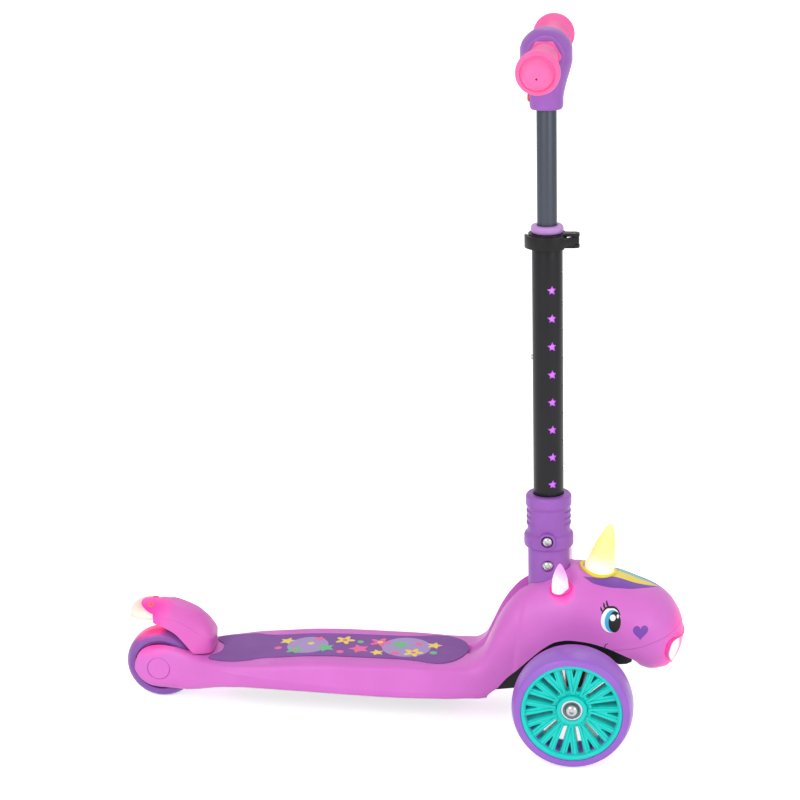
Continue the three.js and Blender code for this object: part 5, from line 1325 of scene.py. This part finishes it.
def relief(name, rows, cast, lifts, material, sink=0.4, around=False):
    """A print or a raised rim on the deck body's skin."""
    finish_piece(sheet(name, rows, cast, lifts, sink, around), "deck", material, (), 60)


# Eye from its back to its front: centre, half width and half height, height above the skin and ink
EYE_OVALS = [
    ("eye_white", (221, 126.3), 10.1, 12.3, 0.1, white_ink),
    ("iris", (222.6, 125.4), 7.7, 11.0, 0.16, blue_ink),
    ("pupil", (225.0, 124.9), 6.2, 10.4, 0.22, black_ink),
    ("shine", (222.9, 129.2), 3.1, 3.1, 0.28, white_ink),
    ("small_shine", (228.0, 130.6), 1.2, 1.9, 0.28, white_ink)]
# Strokes of black ink: points, width, the share of it that is left at the ends, steps and height
FACE_STROKES = [
    ("upper_lid", [(211.6, 132.3), (213.8, 136.2), (218, 138.8), (223, 138.9), (227.6, 136.4),
                   (230.3, 131.6)], 1.9, 0.15, 14, 0.24),
    ("lash_1", [(212.6, 134.6), (210.9, 136.6), (210.3, 139)], 1.6, 0.2, 8, 0.12),
    ("lash_2", [(215.4, 137.2), (213.6, 139.9), (213.2, 142.6)], 1.8, 0.2, 8, 0.12),
    ("lash_3", [(218.6, 138.8), (216.6, 141.4), (215.9, 144.4)], 1.8, 0.2, 8, 0.12),
    ("mouth_curl", [(216.2, 94.2), (215.6, 97.2), (216.3, 100.2), (218.9, 101.6)], 0.9, 0.4, 14, 0.12)]
# Mane: the lower and the upper edge of each stripe
MANE = [
    ("mane_purple", [(190.6, -23.7), (203, -28.6), (218, -29.8), (234, -25.9), (249, -16.4), (261, -4.5),
                     (268.3, 8)],
     [(190.6, -23.7), (198.7, -21), (209, -17.5), (221, -12.4), (237, -10.6), (254, -5.4), (268.2, 7.8)],
     purple_ink),
    ("mane_yellow", [(219.5, -11.6), (228, -11), (238, -9.9), (250, -6), (260, -0.6), (268, 8)],
     [(225, 6.6), (233, 6.8), (242, 6.8), (252, 6.2), (261, 6.4), (268, 8.1)], sun_ink),
    ("mane_teal", [(225.5, 7.2), (233, 7.4), (242, 7.4), (252, 6.8), (261, 7), (268, 8.3)],
     [(222, 17), (232, 17.8), (243, 16.4), (254, 13), (262, 10.5), (268, 8.9)], teal_ink),
    ("mane_lilac", [(221, 17.8), (232, 18.5), (243, 17.1), (254, 13.7), (262, 11.2), (268, 9.2)],
     [(204, 25), (218, 28), (232, 26.6), (247, 22), (259, 15.6), (268.2, 9.6)], purple_ink),
]


def build_face(skin):
    """Eyes, hearts, mouth curls, mane stripes and ear sockets."""
    tree = skin_tree(skin)
    for side, name in SIDES:
        cast = caster(tree, 150, (0, side, 0), lambda a, b: Vector((a, 0, b)))
        for kind, centre, half_x, half_y, lift, ink in EYE_OVALS:
            relief(f"{kind}_{name}", fan(oval(centre, half_x, half_y)), cast, [(0, lift), (1, lift)], ink,
                   0.4, True)
        for kind, points, width, ends, steps, lift in FACE_STROKES:
            relief(f"{kind}_{name}", stroke(points, width, ends, steps), cast, [(0, lift), (1, lift)],
                   black_ink)
        relief("heart_" + name, fan(heart((251.4, 114.6), 15.4), (251.4, 114.2)), cast, INK, purple_ink,
               0.4, True)
    above = caster(tree, 100, (0, 0, -1), lambda a, b: Vector((a, b, 300)))
    for name, low, high, ink in MANE:
        relief(name, band(low, high), above, INK, ink)
    for turn, name in ((Matrix.Identity(4), "right"), (OTHER_SIDE, "left")):
        stand = turn @ EAR_PLACE
        down = stand.to_3x3() @ Vector((0, 0, -1))
        along_ear = caster(tree, 100, down, lambda a, b: stand @ Vector((a, b, 20)))
        rows = [[(x * wide + 1.0, y * wide + 1.4) for x, y in oval((0, 0), 9.4, 6.6, 72, 2)]
                for wide in (1.0, 1.06, 1.13, 1.2, 1.27)]
        relief("ear_socket_" + name, rows, along_ear,
               [(0, 0.2), (0.25, 1.5), (0.5, 1.9), (0.8, 1.4), (1, 0.02)], hot_pink_lens, 1.0, True)


def build_nose(jaw_skin):
    """The nose light: a lens that wraps round the front, with a hot pink rim."""
    tree = skin_tree(jaw_skin)
    turn = turned(NOSE_PITCH, "Y").to_3x3()

    def flat(a, b):
        return Vector(NOSE_PLACE) + turn @ Vector((0, a, b))
    cast = caster(tree, 300, turn @ Vector((-1, 0, 0)), flat)
    shape = [(x, y + 3.5 * min(1, (x / 30) ** 2)) for x, y in oval((0, 3.5), 37, 15.6, 96, 2.6)]
    lens = sheet("nose_light_lens", fan(shape, (0, 5), 0.0, 12), cast,
                 [(0, 0.5), (0.8, 0.5), (0.95, 0.3), (1, 0.1)], 2.5, True)
    finish_piece(lens, "deck", nose_lens, ["nose_lens"], 60)
    rows = [[(x * k, 5 + (y - 5) * k) for x, y in shape] for k in (0.96, 0.99, 1.02, 1.05, 1.08)]
    relief("nose_light_rim", rows, cast, [(0, 0.3), (0.25, 1.2), (0.5, 1.4), (0.8, 1.0), (1, 0.05)],
           hot_pink_lens, 1.0, True)


def flower(centre, radius):
    """Five round petals."""
    return [polar(radius * (0.72 + 0.28 * cos(5 * a)), a, centre) for a in angles_round(60)]


MAT_MOTIFS = [
    ("star", -124, 12, 9, "sun"), ("flower", -112, -14, 10, "green"), ("dot", -131, -7, 4, "rose"),
    ("star", -90, 15, 7, "rose"), ("dot", -97, 2, 3.5, "sun"), ("star", -80, -10, 11, "green"),
    ("flower", -62, 12, 11, "sun"), ("dot", -63, -20, 4, "rose"), ("star", -44, -10, 12, "rose"),
    ("dot", -45, 9, 3.5, "green"), ("flower", -24, 10, 12, "rose"), ("star", -24, -18, 8, "sun"),
    ("star", -2, 6, 11, "green"), ("dot", -5, -18, 4.5, "rose"), ("flower", 14, -14, 11, "sun"),
    ("dot", 17, 10, 4, "rose"), ("star", 34, 8, 9, "sun"), ("dot", 35, -12, 4, "green"),
]


def build_mat():
    """Grip mat in its seat, with generic stars, flowers and dots over two pale patches."""
    mat = plate("grip_mat", [mat_outline()], 20, 90)
    combine(mat, [deck_strip("mat_depth", 1.6, 1.0)], "INTERSECT")
    finish_piece(mat, "deck", mat_rubber, sharp=30)
    above = caster(skin_tree(mat))
    inks = {"sun": sun_ink, "green": green_ink, "rose": rose_ink}
    for i, (kind, x, y, size, ink) in enumerate(MAT_MOTIFS):
        if kind == "star":
            outline = [(x + p, y + q) for p, q in rounded(star(size, size * 0.5, 0.4 * i), 0.9, 3, True)]
        elif kind == "flower":
            outline = flower((x, y), size)
        else:
            outline = oval((x, y), size, size, 32)
        relief(f"mat_{kind}_{i}", fan(outline, (x, y), 0.0, 3), above, INK, inks[ink], 0.2, True)
        if kind == "flower":
            eye = fan(oval((x, y), size * 0.25, size * 0.25, 24), (x, y), 0.0, 2)
            relief(f"mat_flower_eye_{i}", eye, above, [(0, 0.2), (1, 0.2)],
                   inks["rose" if ink != "rose" else "sun"], 0.2, True)
    for i, (x, y, size) in enumerate(((-100, -2, 22), (5, 0, 26))):
        ring = [(px, max(-29.4, min(29.4, py))) for px, py in oval((x, y), size, size, 72)]
        relief(f"mat_patch_{i}", fan(ring, (x, y), 0.0, 4), above, [(0, 0.06), (1, 0.06)], lilac_ink, 0.2,
               True)


def build_tread(skin):
    """Fine slanted ribs on the deck's border, on both sides of the mat."""
    above = caster(skin_tree(skin))
    ribs = []
    for side in (1, -1):
        for i in range(54):
            x = -134 + 3.2 * i
            ends = [(x + 3.4 * side, -34 * side), (x - 3.4 * side, -48.5 * side)]
            rows = [[(ends[0][0] + (ends[1][0] - ends[0][0]) * t + shift,
                      ends[0][1] + (ends[1][1] - ends[0][1]) * t) for t in [k / 6 for k in range(7)]]
                    for shift in (-0.6, -0.3, 0.3, 0.6)]
            ribs.append(sheet("tread_rib", rows, above, [(0, 0), (0.33, 0.32), (0.67, 0.32), (1, 0)], 0.3))
    finish_piece(joined("deck_tread_ribs", ribs), "deck", pink_polypropylene, (), 60)


# Camera and stage

def set_camera():
    """The photograph's camera, from its fitted place, turn and pitch."""
    camera = bpy.data.objects.new("camera", bpy.data.cameras.new("camera"))
    scene.collection.objects.link(camera)
    camera.data.lens = LENS_MM
    camera.data.sensor_width = 36
    camera.data.sensor_fit = "HORIZONTAL"
    camera.data.clip_end = 90
    camera.location = CAMERA_PLACE
    camera.rotation_euler = (radians(90 - CAMERA_PITCH), 0, radians(CAMERA_TURN))
    scene.camera = camera


def seen_directly(tree):
    """One where the camera or a reflection sees a surface, and zero where it only sends light."""
    path = add_node(tree, "ShaderNodeLightPath").outputs
    return add_node(tree, "ShaderNodeMath", {"operation": "MAXIMUM"}, links={
        0: path["Is Camera Ray"], 1: path["Is Glossy Ray"]}).outputs[0]


def set_stage():
    """A pale floor, a white world and three soft lamps at a plain level."""
    bpy.ops.mesh.primitive_plane_add(size=FLOOR_SIZE, location=(0, 0, 0))
    floor = bpy.context.object
    floor.name = "floor"
    material, tree, shader, _ = new_shader("matt_floor_paint", "#FFFFFF", 0.9)
    lift = add_node(tree, "ShaderNodeMath", {"operation": "MULTIPLY"}, {1: FLOOR_LIFT},
                    {0: seen_directly(tree)})
    shader.inputs["Emission Color"].default_value = (1, 1, 1, 1)
    tree.links.new(lift.outputs[0], shader.inputs["Emission Strength"])
    floor.data.materials.append(material)
    world = bpy.data.worlds.new("studio")
    scene.world = world
    world.use_nodes = True
    tree = world.node_tree
    tree.nodes.clear()
    soft = add_node(tree, "ShaderNodeBackground", inputs={"Color": (1, 1, 1, 1), "Strength": WORLD_LIGHT})
    seen = add_node(tree, "ShaderNodeBackground", inputs={"Color": (1, 1, 1, 1), "Strength": 1.0})
    mix = add_node(tree, "ShaderNodeMixShader", links={
        0: seen_directly(tree), 1: soft.outputs[0], 2: seen.outputs[0]})
    add_node(tree, "ShaderNodeOutputWorld", links={"Surface": mix.outputs[0]})
    for name, place, size, power in LAMPS:
        lamp = bpy.data.objects.new(name, bpy.data.lights.new(name, "AREA"))
        lamp.data.size = size
        lamp.data.energy = power
        lamp.location = place
        aim = Vector((0, 0, 0.3)) - Vector(place)
        lamp.rotation_euler = aim.to_track_quat("-Z", "Y").to_euler()
        scene.collection.objects.link(lamp)


body_guide = build_body()
build_lights()
build_face(body_guide)
build_nose(body_guide)
build_arch()
build_mat()
build_tread(body_guide)
build_truck()
for wheel_side in (1, -1):
    front_wheel(wheel_side)
build_rear()
build_brake()
build_stem()
build_bar()
set_camera()
set_stage()
